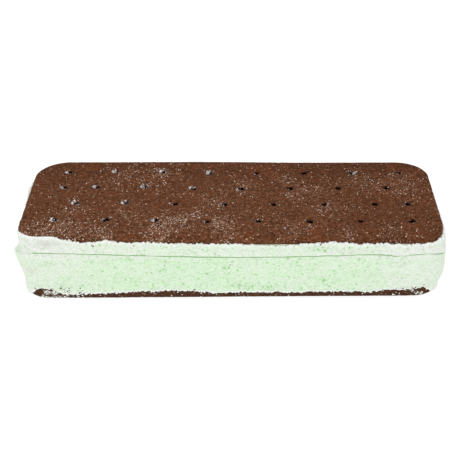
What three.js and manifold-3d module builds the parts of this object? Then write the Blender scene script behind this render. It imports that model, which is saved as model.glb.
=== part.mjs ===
// A rectangular ice cream sandwich: two docked chocolate wafers with a block of mint
// ice cream between them. The ice cream was laid in two runs, which leaves a crease
// round the block, and it has crept a little way up the sides of both wafers.
//
// Millimetres. X runs along the length, -Y is the front, Z is up. The sandwich rests
// on the underside of its bottom wafer at z = 0, and the origin is under its middle.

import * as THREE from 'three';
import { mergeVertices } from 'three/addons/utils/BufferGeometryUtils.js';
import Module from 'manifold-3d';

const solids = await Module();
solids.setup();

// ---------------------------------------------------------------- overall sizes

const TOTAL_HEIGHT = 20.85;
const WAFER_LENGTH = 121;
const WAFER_WIDTH = 44.6;
const TOP_CORNERS = { front: 6.0, back: 9.5 }; // the top wafer's back corners are rounder
const BOTTOM_CORNERS = { front: 7.6, back: 7.6 };
const WAFER_THICKNESS = 3.2;
const BOTTOM_WAFER_INSET = 0.1; // the bottom wafer is a touch smaller all round
const BOTTOM_WAFER_SLIDE = -0.55; // and sits slightly forward of the top one
const BOTTOM_WAFER_TURN = THREE.MathUtils.degToRad(0.5); // with its left end the most forward
const SIDE_GAP = 0.3; // between a wafer's side and the ice cream that laps over it
const LENGTH_SHIFT = -0.17; // the block bulges more at its right end, so the wafers sit left
const FRONT_TAPER = 0.00022; // how much shorter the sandwich gets for each mm towards the front
const BACK_BOW = { out: 0.85, starts: 28, full: -15 }; // the top wafer's back side bows out on its left
const LEFT_BOW = 0.3; // and its left end bows out in the middle

// The section through a wafer's side: how far in from its outline, and how far below its
// docked face.
const WAFER_SECTION = [
  { inward: 0.3, down: WAFER_THICKNESS },
  { inward: 0.0, down: WAFER_THICKNESS - 0.35 },
  { inward: 0.0, down: 0.5 },
  { inward: 0.08, down: 0.14 },
  { inward: 0.3, down: 0 },
];
const EDGE_SWELL = 0.05; // how far the baked edge spreads past its cut size
const EDGE_WANDER = 0.07;
const EDGE_CRUMBLE = 0.05;

const CREAM_POINTS = 190; // points round the ice cream's outline
const WAFER_POINTS = 128; // points round a wafer's outline

// ---------------------------------------------------------------- docker holes

const DOCKER_COLUMNS = 8;
const DOCKER_PITCH = 14.69; // from hole to hole along a row
const DOCKER_ROW_PITCH = 9.95;
const DOCKER_STAGGER = [0, 1, -1, 0]; // of each row from front to back, in thirds of a pitch
const DOCKER_OFFSET = 0.55; // the whole pattern sits slightly to the right
const DOCKER_BACK = 0.6; // and slightly to the back
const DOCKER_DRIFT = 1.2; // how far the rows wander backward near the left end
const DOCKER_DRIFT_STARTS = -10;
const DOCKER_DRIFT_ENDS = -28;
const HOLE_MOUTH_RADIUS = 0.95;
const HOLE_FLOOR_RADIUS = 0.65;
const HOLE_DEPTH = 2.3;
const DIMPLE_RADIUS = 2.1; // the shallow dish that the docker pin pressed round each hole
const DIMPLE_DEPTH = 0.28;
const HOLE_SIDES = 7;

// ---------------------------------------------------------------- small helpers

const UP = new THREE.Vector3(0, 0, 1);
const clamp = (value, low, high) => Math.min(high, Math.max(low, value));
const smoothstep = (from, to, value) => {
  const t = clamp((value - from) / (to - from), 0, 1);
  return t * t * (3 - 2 * t);
};

// A number from -1 to 1 that looks random but is the same on every run.
const scatter = (index, seed) => {
  const value = Math.sin(index * 12.9898 + seed * 78.233) * 43758.5453;
  return 2 * (value - Math.floor(value)) - 1;
};

// A soft unevenness from about -1 to 1 that closes on itself once round the outline.
const unevenness = (share, seed) =>
  0.5 * Math.sin(2 * Math.PI * (5 * share + seed)) +
  0.3 * Math.sin(2 * Math.PI * (13 * share + 2.3 * seed)) +
  0.2 * Math.sin(2 * Math.PI * (31 * share + 5.1 * seed));

// Points at even steps round a rectangle with rounded corners, each with its outward
// normal. They start in the middle of the front and run to the right.
function roundedOutline(corners, count) {
  const halfX = WAFER_LENGTH / 2;
  const halfY = WAFER_WIDTH / 2;
  const frontArc = (Math.PI / 2) * corners.front;
  const backArc = (Math.PI / 2) * corners.back;
  const side = WAFER_WIDTH - corners.front - corners.back;
  const frontHalf = halfX - corners.front;
  const back = WAFER_LENGTH - 2 * corners.back;
  const legs = [frontHalf, frontArc, side, backArc, back, backArc, side, frontArc, frontHalf];
  const total = legs.reduce((sum, leg) => sum + leg, 0);
  const points = [];
  for (let i = 0; i < count; i++) {
    let along = (total * i) / count;
    let leg = 0;
    while (leg < legs.length - 1 && along > legs[leg]) {
      along -= legs[leg];
      leg += 1;
    }
    points.push({ ...pointOnLeg(leg, along, halfX, halfY, corners), share: i / count });
  }
  return points;
}

function pointOnLeg(leg, along, halfX, halfY, corners) {
  if (leg === 0) return { x: along, y: -halfY, nx: 0, ny: -1 };
  if (leg === 2) return { x: halfX, y: corners.front - halfY + along, nx: 1, ny: 0 };
  if (leg === 4) return { x: halfX - corners.back - along, y: halfY, nx: 0, ny: 1 };
  if (leg === 6) return { x: -halfX, y: halfY - corners.back - along, nx: -1, ny: 0 };
  if (leg === 8) return { x: corners.front - halfX + along, y: -halfY, nx: 0, ny: -1 };
  const start = { 1: -90, 3: 0, 5: 90, 7: 180 }[leg];
  const atBack = leg === 3 || leg === 5;
  const corner = atBack ? corners.back : corners.front;
  const angle = THREE.MathUtils.degToRad(start) + along / corner;
  const centreX = (leg < 4 ? 1 : -1) * (halfX - corner);
  const centreY = (atBack ? 1 : -1) * (halfY - corner);
  const nx = Math.cos(angle);
  const ny = Math.sin(angle);
  return { x: centreX + corner * nx, y: centreY + corner * ny, nx, ny };
}

const bottomOutline = (count) => roundedOutline(BOTTOM_CORNERS, count);

// The top wafer's sides are not quite straight.
function topOutline(count) {
  return roundedOutline(TOP_CORNERS, count).map((point) => {
    const toBack = Math.max(0, point.y / (WAFER_WIDTH / 2)) ** 2;
    const toLeft = Math.max(0, -point.nx) ** 2;
    const bow = BACK_BOW.out * smoothstep(BACK_BOW.starts, BACK_BOW.full, point.x);
    return { ...point, x: point.x - LEFT_BOW * toLeft, y: point.y + bow * toBack };
  });
}

// The point part of the way from one outline to another, which have as many points.
function pointBetween(from, to, share) {
  const mix = (key) => from[key] + (to[key] - from[key]) * share;
  const nx = mix('nx');
  const ny = mix('ny');
  const length = Math.hypot(nx, ny);
  return { x: mix('x'), y: mix('y'), nx: nx / length, ny: ny / length, share: from.share };
}

// Joins closed rings, listed from the bottom cap to the top cap, into one closed surface.
function loft(rings) {
  const count = rings[0].length;
  const positions = [];
  const faces = [];
  rings.forEach((ring) => ring.forEach((p) => positions.push(p.x, p.y, p.z)));
  for (let r = 0; r < rings.length - 1; r++) {
    for (let i = 0; i < count; i++) {
      const next = (i + 1) % count;
      const a = r * count + i;
      const b = r * count + next;
      const c = a + count;
      const d = b + count;
      faces.push(a, b, d, a, d, c);
    }
  }
  const last = (rings.length - 1) * count;
  const bottom = positions.length / 3;
  positions.push(LENGTH_SHIFT, 0, rings[0][0].z);
  const top = positions.length / 3;
  positions.push(LENGTH_SHIFT, 0, rings[rings.length - 1][0].z);
  for (let i = 0; i < count; i++) {
    const next = (i + 1) % count;
    faces.push(bottom, next, i);
    faces.push(top, last + i, last + next);
  }
  const geometry = new THREE.BufferGeometry();
  geometry.setAttribute('position', new THREE.Float32BufferAttribute(positions, 3));
  geometry.setIndex(faces);
  return geometry;
}

// A point of the outline pushed outward by `out` and lifted to the height z.
const ringPoint = (point, out, z, taper) => {
  const x = point.x + point.nx * out;
  const y = point.y + point.ny * out;
  return new THREE.Vector3(LENGTH_SHIFT + x * (1 + taper * y), y, z);
};

function toSolid(geometry) {
  const bare = geometry.clone();
  bare.deleteAttribute('normal');
  bare.deleteAttribute('uv');
  const merged = mergeVertices(bare, 1e-4);
  const mesh = new solids.Mesh({
    numProp: 3,
    vertProperties: new Float32Array(merged.attributes.position.array),
    triVerts: new Uint32Array(merged.index.array),
  });
  return new solids.Manifold(mesh);
}

function toGeometry(solid) {
  const mesh = solid.getMesh();
  const geometry = new THREE.BufferGeometry();
  geometry.setAttribute('position', new THREE.Float32BufferAttribute(mesh.vertProperties, 3));
  geometry.setIndex(Array.from(mesh.triVerts));
  return geometry;
}

// ---------------------------------------------------------------- wafers

// Where the docker pins went in, from the front row to the back row.
function dockerCentres() {
  const reach = ((DOCKER_COLUMNS - 1) / 2) * DOCKER_PITCH;
  const centres = [];
  DOCKER_STAGGER.forEach((stagger, row) => {
    for (let column = 0; column < DOCKER_COLUMNS; column++) {
      const even = (column - (DOCKER_COLUMNS - 1) / 2) * DOCKER_PITCH;
      const x = clamp(even + (stagger * DOCKER_PITCH) / 3, -reach, reach) + DOCKER_OFFSET;
      const drift = DOCKER_DRIFT * smoothstep(DOCKER_DRIFT_STARTS, DOCKER_DRIFT_ENDS, x);
      centres.push({
        x: LENGTH_SHIFT + x,
        y: (row - (DOCKER_STAGGER.length - 1) / 2) * DOCKER_ROW_PITCH + DOCKER_BACK + drift,
      });
    }
  });
  return centres;
}

// What one docker pin takes out of a face at height 0: a tapered hole in a shallow dish.
function dockerCutter() {
  const above = 0.5;
  const flare = DIMPLE_RADIUS * (1 + above / DIMPLE_DEPTH) - HOLE_MOUTH_RADIUS * (above / DIMPLE_DEPTH);
  const profile = [
    new THREE.Vector2(0, -HOLE_DEPTH),
    new THREE.Vector2(HOLE_FLOOR_RADIUS, -HOLE_DEPTH),
    new THREE.Vector2(HOLE_MOUTH_RADIUS, -DIMPLE_DEPTH),
    new THREE.Vector2(flare, above),
    new THREE.Vector2(0, above),
  ];
  return new THREE.LatheGeometry(profile, HOLE_SIDES).rotateX(Math.PI / 2);
}

// One wafer with its docked face up and that face at height 0.
function waferSolid(outline, inset, seed, taper) {
  const rings = WAFER_SECTION.map(({ inward, down }, level) =>
    outline.map((point, i) => {
      const wander = EDGE_WANDER * unevenness(point.share, seed);
      const crumble = EDGE_CRUMBLE * scatter(i, seed + level);
      return ringPoint(point, EDGE_SWELL + wander + crumble - inset - inward, -down, taper);
    })
  );
  let wafer = toSolid(loft(rings));
  const pin = dockerCutter();
  for (const { x, y } of dockerCentres()) {
    wafer = wafer.subtract(toSolid(pin.clone().translate(x, y, 0)));
  }
  return toGeometry(wafer);
}

function topWafer() {
  return waferSolid(topOutline(WAFER_POINTS), 0, 0.17, FRONT_TAPER).translate(0, 0, TOTAL_HEIGHT);
}

// The bottom wafer is turned over about its long axis, so its docked face is underneath
// and its taper runs the other way before it is turned.
function bottomWafer() {
  const wafer = waferSolid(bottomOutline(WAFER_POINTS), BOTTOM_WAFER_INSET, 0.43, -FRONT_TAPER);
  return wafer.rotateX(Math.PI).rotateZ(BOTTOM_WAFER_TURN).translate(0, BOTTOM_WAFER_SLIDE, 0);
}

// ---------------------------------------------------------------- ice cream

// How much the outline faces each side: the four shares add up to 1.
const facing = (point) => ({
  left: Math.max(0, -point.nx) ** 2,
  right: Math.max(0, point.nx) ** 2,
  front: Math.max(0, -point.ny) ** 2,
  back: Math.max(0, point.ny) ** 2,
});
const blend = (shares, values) =>
  shares.left * values.left +
  shares.right * values.right +
  shares.front * values.front +
  shares.back * values.back;

// How far the block stands out past the wafers, on each of its sides.
const OUT_LOW_LIP = { left: 0.45, right: 0.3, front: 0.5, back: 0.5 };
const OUT_FOOT = { left: 0.5, right: 0.65, front: 0.7, back: 0.7 };
const OUT_LOW = { left: 0.6, right: 1.5, front: 0.95, back: 0.9 };
const OUT_LOWER_MIDDLE = { left: 0.7, right: 1.8, front: 1.1, back: 0.95 };
const OUT_MIDDLE = { left: 0.85, right: 1.8, front: 1.2, back: 1.0 };
const OUT_UNDER_CREASE = { left: 0.95, right: 1.75, front: 1.25, back: 1.0 };
const OUT_CREASE_LOWER_EDGE = { left: 0.85, right: 1.65, front: 1.2, back: 0.9 };
const OUT_CREASE_FLOOR = { left: 0.2, right: 0.9, front: 0.45, back: 0.25 };
const OUT_CREASE_UPPER_EDGE = { left: 0.8, right: 1.65, front: 1.15, back: 0.85 };
const OUT_SHOULDER = { left: 0.65, right: 1.45, front: 0.9, back: 0.8 };
const OUT_UNDER_LIP = { left: 0.55, right: 1.15, front: 0.7, back: 0.65 };
const OUT_LIP = { left: 0.5, right: 0.8, front: 0.55, back: 0.5 };

// Heights of the rings between the lower lip and the crease.
const LOW_HEIGHT = 4.6;
const LOWER_MIDDLE_HEIGHT = 7.2;
const MIDDLE_HEIGHT = 9.8;
const UNDER_CREASE_DROP = 1.2; // how far under the crease the block is fullest

// Heights that differ from side to side.
const CREASE_HEIGHT = { left: 13.9, right: 12.4, front: 15.45, back: 14.0 };
const LIP_HEIGHT = { left: 18.7, right: 18.3, front: 17.95, back: 18.4 };
const LOW_LIP_HEIGHT = { left: 0.5, right: 0.5, front: 1.75, back: 1.2 };

// Where the lower lip draws back and shows more of the bottom wafer, or less.
const LOW_LIP_GAPS = [
  { x: -58.5, y: -19.5, reach: 4, rise: -0.9 },
  { x: -46, y: -22, reach: 4, rise: -0.55 },
  { x: -33, y: -22, reach: 2.4, rise: 0.4 },
  { x: -22, y: -22, reach: 10, rise: 0.35 },
  { x: -17, y: -22, reach: 4, rise: 0.4 },
  { x: -11.5, y: -22, reach: 3, rise: 0.3 },
  { x: 17, y: -22, reach: 2.5, rise: -0.25 },
  { x: 39, y: -22, reach: 4, rise: -0.4 },
  { x: 48, y: -22, reach: 8, rise: 0.65 },
  { x: 55, y: -22, reach: 4, rise: 0.6 },
  { x: 59.5, y: -19, reach: 3.5, rise: -1.2 },
];

const LOWEST_LIP = 0.3; // the ice cream stays clear of what the sandwich rests on

// Along the front the crease sags in the middle, dips once near the right end and runs
// slightly downhill from left to right.
const CREASE_SAG = 1.4;
const CREASE_SAG_REACH = 34;
const CREASE_DIP = { x: 48, depth: 0.7, reach: 4 };
const CREASE_FALL = 0.3;
const CREASE_HALF_OPENING = 0.13;
const CREASE_WANDER = 0.12;

// How unevenly the two lips run.
const LIP_CRUMBLE = 0.12;
const LOW_LIP_WANDER = 0.12;
const LOW_LIP_CRUMBLE = 0.16;
const LIP_EDGE = 0.12; // how far above its lip the block starts to swell
const FACE_CRUMBLE = 0.05; // the roughness of the block's sides

// At the front left corner the lower run was squeezed out into a burr under the crease.
const BURR = [{ x: -59.2, y: -18.2, reach: 3.4, out: 1.3 }];

// Flakes and smears where the ice cream has crept up the side of the top wafer.
const LIP_FLAKES = [
  { x: -53.3, y: -22, reach: 6, rise: 2.9, out: 0.05 },
  { x: -58, y: -20, reach: 4, rise: 1.15, out: 0 },
  { x: -46, y: -22, reach: 3.5, rise: 0.55, out: 0 },
  { x: -35.6, y: -22, reach: 2.6, rise: 1.0, out: 0.05 },
  { x: -29, y: -22, reach: 15, rise: 0.55, out: 0 },
  { x: 13, y: -22, reach: 9, rise: -0.45, out: 0 },
  { x: 29, y: -22, reach: 3.2, rise: 0.45, out: 0.05 },
  { x: 49, y: -22, reach: 4, rise: -0.35, out: 0 },
  { x: 60, y: -10, reach: 5.5, rise: 1.3, out: 0.05 },
  { x: 12, y: 22, reach: 6, rise: 1.9, out: 0.6 },
  { x: -60, y: 6, reach: 8, rise: 1.7, out: 0.5 },
];
const LIP_LIMIT = TOTAL_HEIGHT - 0.3; // no flake reaches the wafer's top face

// The sum of a list's soft bumps at one point of the outline, for the named amount.
const bumpAt = (list, point, amount) =>
  list.reduce((sum, bump) => {
    const apart = Math.hypot(point.x - bump.x, point.y - bump.y) / bump.reach;
    return sum + bump[amount] * Math.exp(-apart * apart);
  }, 0);

function creaseHeight(point, shares) {
  const sag = CREASE_SAG * Math.exp(-((point.x / CREASE_SAG_REACH) ** 2));
  const dip = CREASE_DIP.depth * Math.exp(-(((point.x - CREASE_DIP.x) / CREASE_DIP.reach) ** 2));
  const fall = (CREASE_FALL * point.x) / (WAFER_LENGTH / 2);
  const wave = CREASE_WANDER * unevenness(point.share, 0.31);
  return blend(shares, CREASE_HEIGHT) - shares.front * (sag + dip + fall) + wave;
}

// How far each ring of the block has gone over from the bottom wafer's outline to the top
// one's. The rings that make the crease keep to one outline.
const RING_SHARES = [0, 0, 0, 0.05, 0.15, 0.3, 0.5, 0.65, 0.65, 0.65, 0.65, 0.85, 0.95, 1, 1, 1];

// The section through the block's side at one point of the outline, from the floor of the
// bottom pocket to that of the top one: the distance out past the wafers, the height, and
// how far it follows the bottom wafer's slide and turn.
function creamSection(point, i) {
  const shares = facing(point);
  const bulge = (values, amount, seed) =>
    blend(shares, values) + amount * unevenness(point.share, seed) + FACE_CRUMBLE * scatter(i, seed * 10);
  const crease = creaseHeight(point, shares);
  const lip = Math.min(
    LIP_LIMIT,
    blend(shares, LIP_HEIGHT) + bumpAt(LIP_FLAKES, point, 'rise') + LIP_CRUMBLE * scatter(i, 3)
  );
  const flare = bumpAt(LIP_FLAKES, point, 'out');
  const burr = bumpAt(BURR, point, 'out');
  const ragged = LOW_LIP_WANDER * unevenness(point.share, 0.77) + LOW_LIP_CRUMBLE * scatter(i, 4);
  const lowLip = Math.max(
    LOWEST_LIP,
    blend(shares, LOW_LIP_HEIGHT) + bumpAt(LOW_LIP_GAPS, point, 'rise') + ragged
  );
  const bottomWall = SIDE_GAP - BOTTOM_WAFER_INSET;
  const upper = lip - crease;
  return [
    { out: bottomWall, z: WAFER_THICKNESS, follow: 1 },
    { out: bottomWall, z: lowLip, follow: 1 },
    { out: bulge(OUT_LOW_LIP, 0.0, 1), z: lowLip + LIP_EDGE, follow: 1 },
    { out: bulge(OUT_FOOT, 0.08, 0.11), z: lowLip + 0.4 * (LOW_HEIGHT - lowLip), follow: 0.7 },
    { out: bulge(OUT_LOW, 0.1, 0.23), z: LOW_HEIGHT },
    { out: bulge(OUT_LOWER_MIDDLE, 0.12, 0.37) + 0.2 * burr, z: LOWER_MIDDLE_HEIGHT },
    { out: bulge(OUT_MIDDLE, 0.12, 0.53) + 0.65 * burr, z: MIDDLE_HEIGHT },
    { out: bulge(OUT_UNDER_CREASE, 0.1, 0.67) + 0.95 * burr, z: crease - UNDER_CREASE_DROP },
    { out: bulge(OUT_CREASE_LOWER_EDGE, 0.1, 0.67) + burr, z: crease - CREASE_HALF_OPENING },
    { out: blend(shares, OUT_CREASE_FLOOR), z: crease - 0.5 * CREASE_HALF_OPENING },
    { out: bulge(OUT_CREASE_UPPER_EDGE, 0.1, 0.83), z: crease + CREASE_HALF_OPENING },
    { out: bulge(OUT_SHOULDER, 0.08, 0.83), z: crease + 0.4 * upper },
    { out: bulge(OUT_UNDER_LIP, 0.06, 0.97) + 0.7 * flare, z: crease + 0.72 * upper },
    { out: bulge(OUT_LIP, 0.0, 2) + flare, z: lip - 0.25 },
    { out: SIDE_GAP, z: lip },
    { out: SIDE_GAP, z: TOTAL_HEIGHT - WAFER_THICKNESS },
  ];
}

function iceCream() {
  const low = bottomOutline(CREAM_POINTS);
  const high = topOutline(CREAM_POINTS);
  const rings = RING_SHARES.map((share, level) =>
    low.map((lowPoint, i) => {
      const point = pointBetween(lowPoint, high[i], share);
      const { out, z, follow = 0 } = creamSection(point, i)[level];
      const turned = ringPoint(point, out, z, FRONT_TAPER).applyAxisAngle(UP, follow * BOTTOM_WAFER_TURN);
      return turned.add(new THREE.Vector3(0, follow * BOTTOM_WAFER_SLIDE, 0));
    })
  );
  return loft(rings);
}

// ---------------------------------------------------------------- the sandwich

const waferMaterial = new THREE.MeshStandardMaterial({ color: 0x61402d, roughness: 0.85, metalness: 0 });
const creamMaterial = new THREE.MeshStandardMaterial({ color: 0xdcedd5, roughness: 0.6, metalness: 0 });

function piece(name, geometry, material) {
  const mesh = new THREE.Mesh(geometry, material);
  mesh.name = name;
  return mesh;
}

const sandwich = new THREE.Group();
sandwich.name = 'ice_cream_sandwich';
sandwich.add(piece('wafer_top', topWafer(), waferMaterial));
sandwich.add(piece('ice_cream', iceCream(), creamMaterial));
sandwich.add(piece('wafer_bottom', bottomWafer(), waferMaterial.clone()));

export default sandwich;
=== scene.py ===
"""An oblong mint ice cream sandwich: two docked chocolate wafers, the block of mint ice
cream between them, and the frost, rime and crumbs that lie on all three.

Lengths in the settings are metres. The shapes are worked out in millimetres, with X along
the sandwich, -Y its front and Z up, and turned into metres when a mesh is made.
"""

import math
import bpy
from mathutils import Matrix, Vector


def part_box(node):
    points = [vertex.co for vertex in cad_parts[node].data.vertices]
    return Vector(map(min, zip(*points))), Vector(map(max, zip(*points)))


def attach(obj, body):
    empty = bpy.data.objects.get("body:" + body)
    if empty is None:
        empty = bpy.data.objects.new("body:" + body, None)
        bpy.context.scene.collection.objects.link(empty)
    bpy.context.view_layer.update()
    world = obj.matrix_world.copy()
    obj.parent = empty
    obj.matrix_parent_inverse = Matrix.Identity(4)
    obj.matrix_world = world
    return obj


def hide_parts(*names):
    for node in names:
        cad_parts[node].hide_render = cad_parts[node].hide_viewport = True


bl_info = {
    "name": "Mint Ice Cream Sandwich",
    "version": (1, 0, 0),
    "blender": (4, 5, 0),
    "location": "3D View > Sidebar > Sandwich",
    "description": "Makes an oblong ice cream sandwich with docked wafers, frost and crumbs",
    "category": "Add Mesh",
}

import bpy
import numpy as np
from bpy.props import FloatProperty, FloatVectorProperty, IntProperty, PointerProperty
from mathutils import Matrix, Vector, noise

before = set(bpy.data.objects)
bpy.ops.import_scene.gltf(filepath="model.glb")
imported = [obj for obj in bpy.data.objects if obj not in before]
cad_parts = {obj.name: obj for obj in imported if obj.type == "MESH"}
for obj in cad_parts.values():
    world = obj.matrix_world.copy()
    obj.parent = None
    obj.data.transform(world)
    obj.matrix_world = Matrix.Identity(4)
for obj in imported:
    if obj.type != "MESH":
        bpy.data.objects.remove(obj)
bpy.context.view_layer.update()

MM = 0.001
MOST_TRIANGLES = 200000  # in one piece
TINY = 1e-9  # keeps a division from one by zero

# ---------------------------------------------------------------- the sandwich's own sizes, in mm

TOP_WAFER_LOW, TOP_WAFER_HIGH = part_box("wafer_top")
TOP_OF_SANDWICH = TOP_WAFER_HIGH.z / MM
WAFER_THICKNESS = (TOP_WAFER_HIGH.z - TOP_WAFER_LOW.z) / MM
LENGTH_SHIFT = -0.17  # the wafers sit this far left of the block's middle
FRONT_TAPER = 0.00022  # the share of its length that the sandwich loses per mm towards the front
BOTTOM_WAFER_SLIDE = -0.55  # the bottom wafer sits slightly forward of the top one
BOTTOM_WAFER_TURN = math.radians(0.5)  # with its left end the most forward
BOTTOM_WAFER_INSET = 0.1  # and is a touch smaller all round
BOTTOM_WAFER_LIFT = 0.1  # it rests on its own bumps and crystals
WAFER_EDGE = 0.3  # how far the rounding of a wafer's edge reaches onto its face
EDGE_ROUNDING = ((0.13, 0.03), (0.22, 0.1), (0.28, 0.22))  # how far out and down it goes, in steps
# The upright side: it starts this far under the docked face, ends this far over the hidden one,
# and has this many rings of points. Then comes one ring at the hidden face: how far out and over.
SIDE_STARTS, SIDE_ENDS, SIDE_RINGS = 0.42, 0.3, 9
HIDDEN_ROUNDING = (0.2, 0.08)
EDGE_SWELL, EDGE_WANDER = 0.05, 0.07  # how far a baked edge spreads past its cut size, and strays
EDGE_CRUMBLE, EDGE_LUMPS = 0.09, 0.06  # how rough it is, finely and broadly
# The top wafer's back bows out on its left, and its left end bows out in the middle.
BACK_BOW, BACK_BOW_STARTS, BACK_BOW_FULL = 0.85, 28, -15
LEFT_BOW, LEFT_BOW_POWER = 0.3, 12

DOCKER_COLUMNS = 8
DOCKER_STAGGER = (0, 1, -1, 0)  # of each row from front to back, in thirds of a pitch
DOCKER_OFFSET = 0.55  # the whole pattern sits slightly to the right
DOCKER_BACK = 0.6  # and slightly to the back
DOCKER_DRIFT = 1.2  # how far the rows wander backward near the left end
DOCKER_DRIFT_STARTS = -10
DOCKER_DRIFT_ENDS = -28
DISH_RIM = 0.08  # how high the face is pushed up round each dish
# How a net of points is drawn in towards a docker hole: distances from the hole before and after.
NET_FROM, NET_TO = (0, 0.8, 2.3, 3.6), (0, 0.45, 1.0, 3.6)

# How far the block stands out past the wafers: on its left, right, front and back.
OUT_LOW_LIP = (0.45, 0.3, 0.5, 0.5)
OUT_FOOT = (0.5, 0.65, 0.7, 0.7)
OUT_LOW = (0.6, 1.5, 0.95, 0.9)
OUT_LOWER_MIDDLE = (0.7, 1.8, 1.1, 0.95)
OUT_MIDDLE = (0.85, 1.8, 1.2, 1.0)
OUT_UNDER_CREASE = (0.95, 1.75, 1.25, 1.0)
OUT_CREASE_LOWER_EDGE = (0.85, 1.65, 1.2, 0.9)
OUT_CREASE_FLOOR = (0.2, 0.9, 0.45, 0.25)
OUT_CREASE_UPPER_EDGE = (0.8, 1.65, 1.15, 0.85)
OUT_SHOULDER = (0.65, 1.45, 0.9, 0.8)
OUT_UNDER_LIP = (0.55, 1.15, 0.7, 0.65)
OUT_LIP = (0.5, 0.8, 0.55, 0.5)

LOW_HEIGHT = 4.6
LOWER_MIDDLE_HEIGHT = 7.2
MIDDLE_HEIGHT = 9.8
UNDER_CREASE_DROP = 1.2  # how far under the crease the block is fullest

# How far each ring of the block has gone over from the bottom wafer's outline to the top one's.
OUTLINE_SHARES = (
    0, 0, 0, 0, 0, 0.05, 0.15, 0.3, 0.5, 0.65,
    0.65, 0.65, 0.65, 0.85, 0.95, 1, 1, 1, 1, 1,
)
# Heights on the left, right, front and back.
CREASE_HEIGHT = (13.9, 12.4, 15.45, 14.0)
LIP_HEIGHT = (18.7, 18.3, 17.95, 18.4)
LOW_LIP_HEIGHT = (0.5, 0.5, 2.02, 1.4)
LOWEST_LIP = 0.3
LIP_CLEARANCE = 0.3  # the upper lip stays this far under the top of the sandwich
LOW_LIP_RAGGED = 0.8  # how ragged the lower lip is, as a share of the upper one
LOW_LIP_WAVES = 0.12
POCKET_INSET = 0.04  # how far the pocket for a wafer lies inside the wafer's outline
CREASE_SAG, CREASE_SAG_REACH = 1.4, 34
CREASE_DIP_X, CREASE_DIP, CREASE_DIP_REACH = 48, 0.7, 4
CREASE_FALL, CREASE_FALL_REACH = 0.3, 60.5  # it lies lower towards the right
CREASE_WAVES, CREASE_JITTER = 0.12, 0.1
CREASE_DEPTH = 0.45  # how much of its full depth the crease keeps where it is open
CREASE_STEPS = ((-59.8, -21, 2.4, -0.7),)  # it steps down at the front left corner

# Soft bumps round the outline: x, y, reach, and how much higher or further out.
LOW_LIP_GAPS = (
    (-59.8, -19, 2.6, -1.9), (-54.5, -22, 3.4, 1.9), (-46, -22, 4, -0.5), (-37.5, -22, 5, -0.35),
    (-33, -22, 2.4, 0.2), (-22, -22, 10, 0.35), (-17, -22, 4, 0.4), (-11.5, -22, 3, 0.3),
    (17, -22, 2.5, -0.25), (39, -22, 4, -0.4), (48, -22, 8, 0.4), (55.5, -22, 3.6, 1.2),
    (59.4, -19, 3.2, -1.9),
)
BURR = ((-59.2, -18.2, 3.4, 1.3),)
LIP_RISES = (
    (-53.3, -22, 6, 2.9), (-58, -20, 4, 1.15), (-46, -22, 3.5, 0.55), (-35.6, -22, 2.6, 1.0),
    (-29, -22, 15, 0.55), (13, -22, 9, -0.45), (29, -22, 3.2, 0.45), (49, -22, 4, -0.35),
    (60, -10, 5.5, 1.3), (12, 22, 6, 1.9), (-60, 6, 8, 1.7),
)
LIP_FLARES = ((12, 22, 6, 0.6), (-60, 6, 8, 0.5))

# Where frost gathers on the docked face: x, y, reach and strength.
FROST_PATCHES = (
    (-54, -20, 6, 0.6), (-46, -20, 5, 0.6), (-47, -8.5, 4.5, 0.35), (-30, -9.7, 3.5, 0.5),
    (-37.5, -19.4, 3, 0.8), (-34, -22, 2, 0.6), (-21, -20, 4, 0.6), (-32, 12, 6, 0.35),
    (-21.5, 15.5, 4, 0.55), (-18.5, -16.5, 6, 0.7), (-15, -12.7, 2.2, 1.0), (-9.8, -11, 2.6, 1.0),
    (-3.3, -15, 2.8, 0.9), (-6, -3.3, 3, 0.6), (-1, -20, 4, 0.5), (2.6, 6, 4, 0.4),
    (17, -18.6, 3.5, 0.4), (18, 0.8, 2, 1.0), (16.4, 10.4, 3, 0.5), (23, 4, 3.5, 0.5),
    (27, -8, 4, 0.4), (40, 8.5, 5, 0.3), (50.5, 8, 6, 0.4), (33, -21, 2.5, 0.5),
    (46, -21, 2.5, 0.35),
)

# How much rime each docker hole holds, by row from the front and column from the left.
# Rime gathers on a hole's left and near rim; a minus sign puts it on the right.
HOLE_RIME = (
    (1.0, 0.35, 1.0, 0.4, 0.5, 0.25, 0.1, 0.1),
    (1.0, 1.0, 0.3, 0.4, 0.2, -0.5, 0.15, 0.5),
    (0.9, 0.8, 0.9, 0.7, 0.55, 0.2, 0.1, -0.2),
    (0.9, 1.0, 0.9, 0.9, 0.2, 0.1, -0.9, 0.15),
)

# Marks on the front of the block: x, z, half width, half height and strength. The green ones
# are dotted, and partly painted shade where pits cluster and flakes tear by the lips.
GREEN_SPOTS_AND_PIT_SHADE = (
    (-52.0, 12.3, 2.0, 0.7, 0.8), (-39.2, 12.9, 2.4, 0.35, 0.9), (-28.6, 13.6, 0.7, 0.5, 0.5),
    (26.5, 5.9, 1.1, 0.8, 1.0), (-2.0, 10.2, 0.5, 1.2, 0.9), (3.5, 4.2, 3.4, 0.9, 0.9),
    (10.8, 3.8, 2.6, 0.6, 1.1), (-13.9, 5.0, 0.6, 0.7, 0.7), (-8.8, 4.7, 0.9, 0.6, 0.6),
    (10.0, 17.2, 2.6, 0.4, 0.9), (24.4, 16.8, 2.6, 0.6, 1.0), (41.8, 8.2, 0.8, 0.5, 0.7),
    (-46.9, 6.8, 1.6, 0.9, 0.4),
)
GREY_SMUDGES = (
    (-51, 18.6, 3.6, 1.2, 0.9), (33.5, 15.8, 3.0, 0.6, 0.6), (48.4, 11.4, 0.8, 0.6, 0.8),
    (45.8, 8.0, 0.6, 0.7, 0.8), (-57.4, 9.1, 1.6, 1.2, 0.5), (-42.3, 18.3, 0.6, 0.3, 0.9),
)

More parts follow.
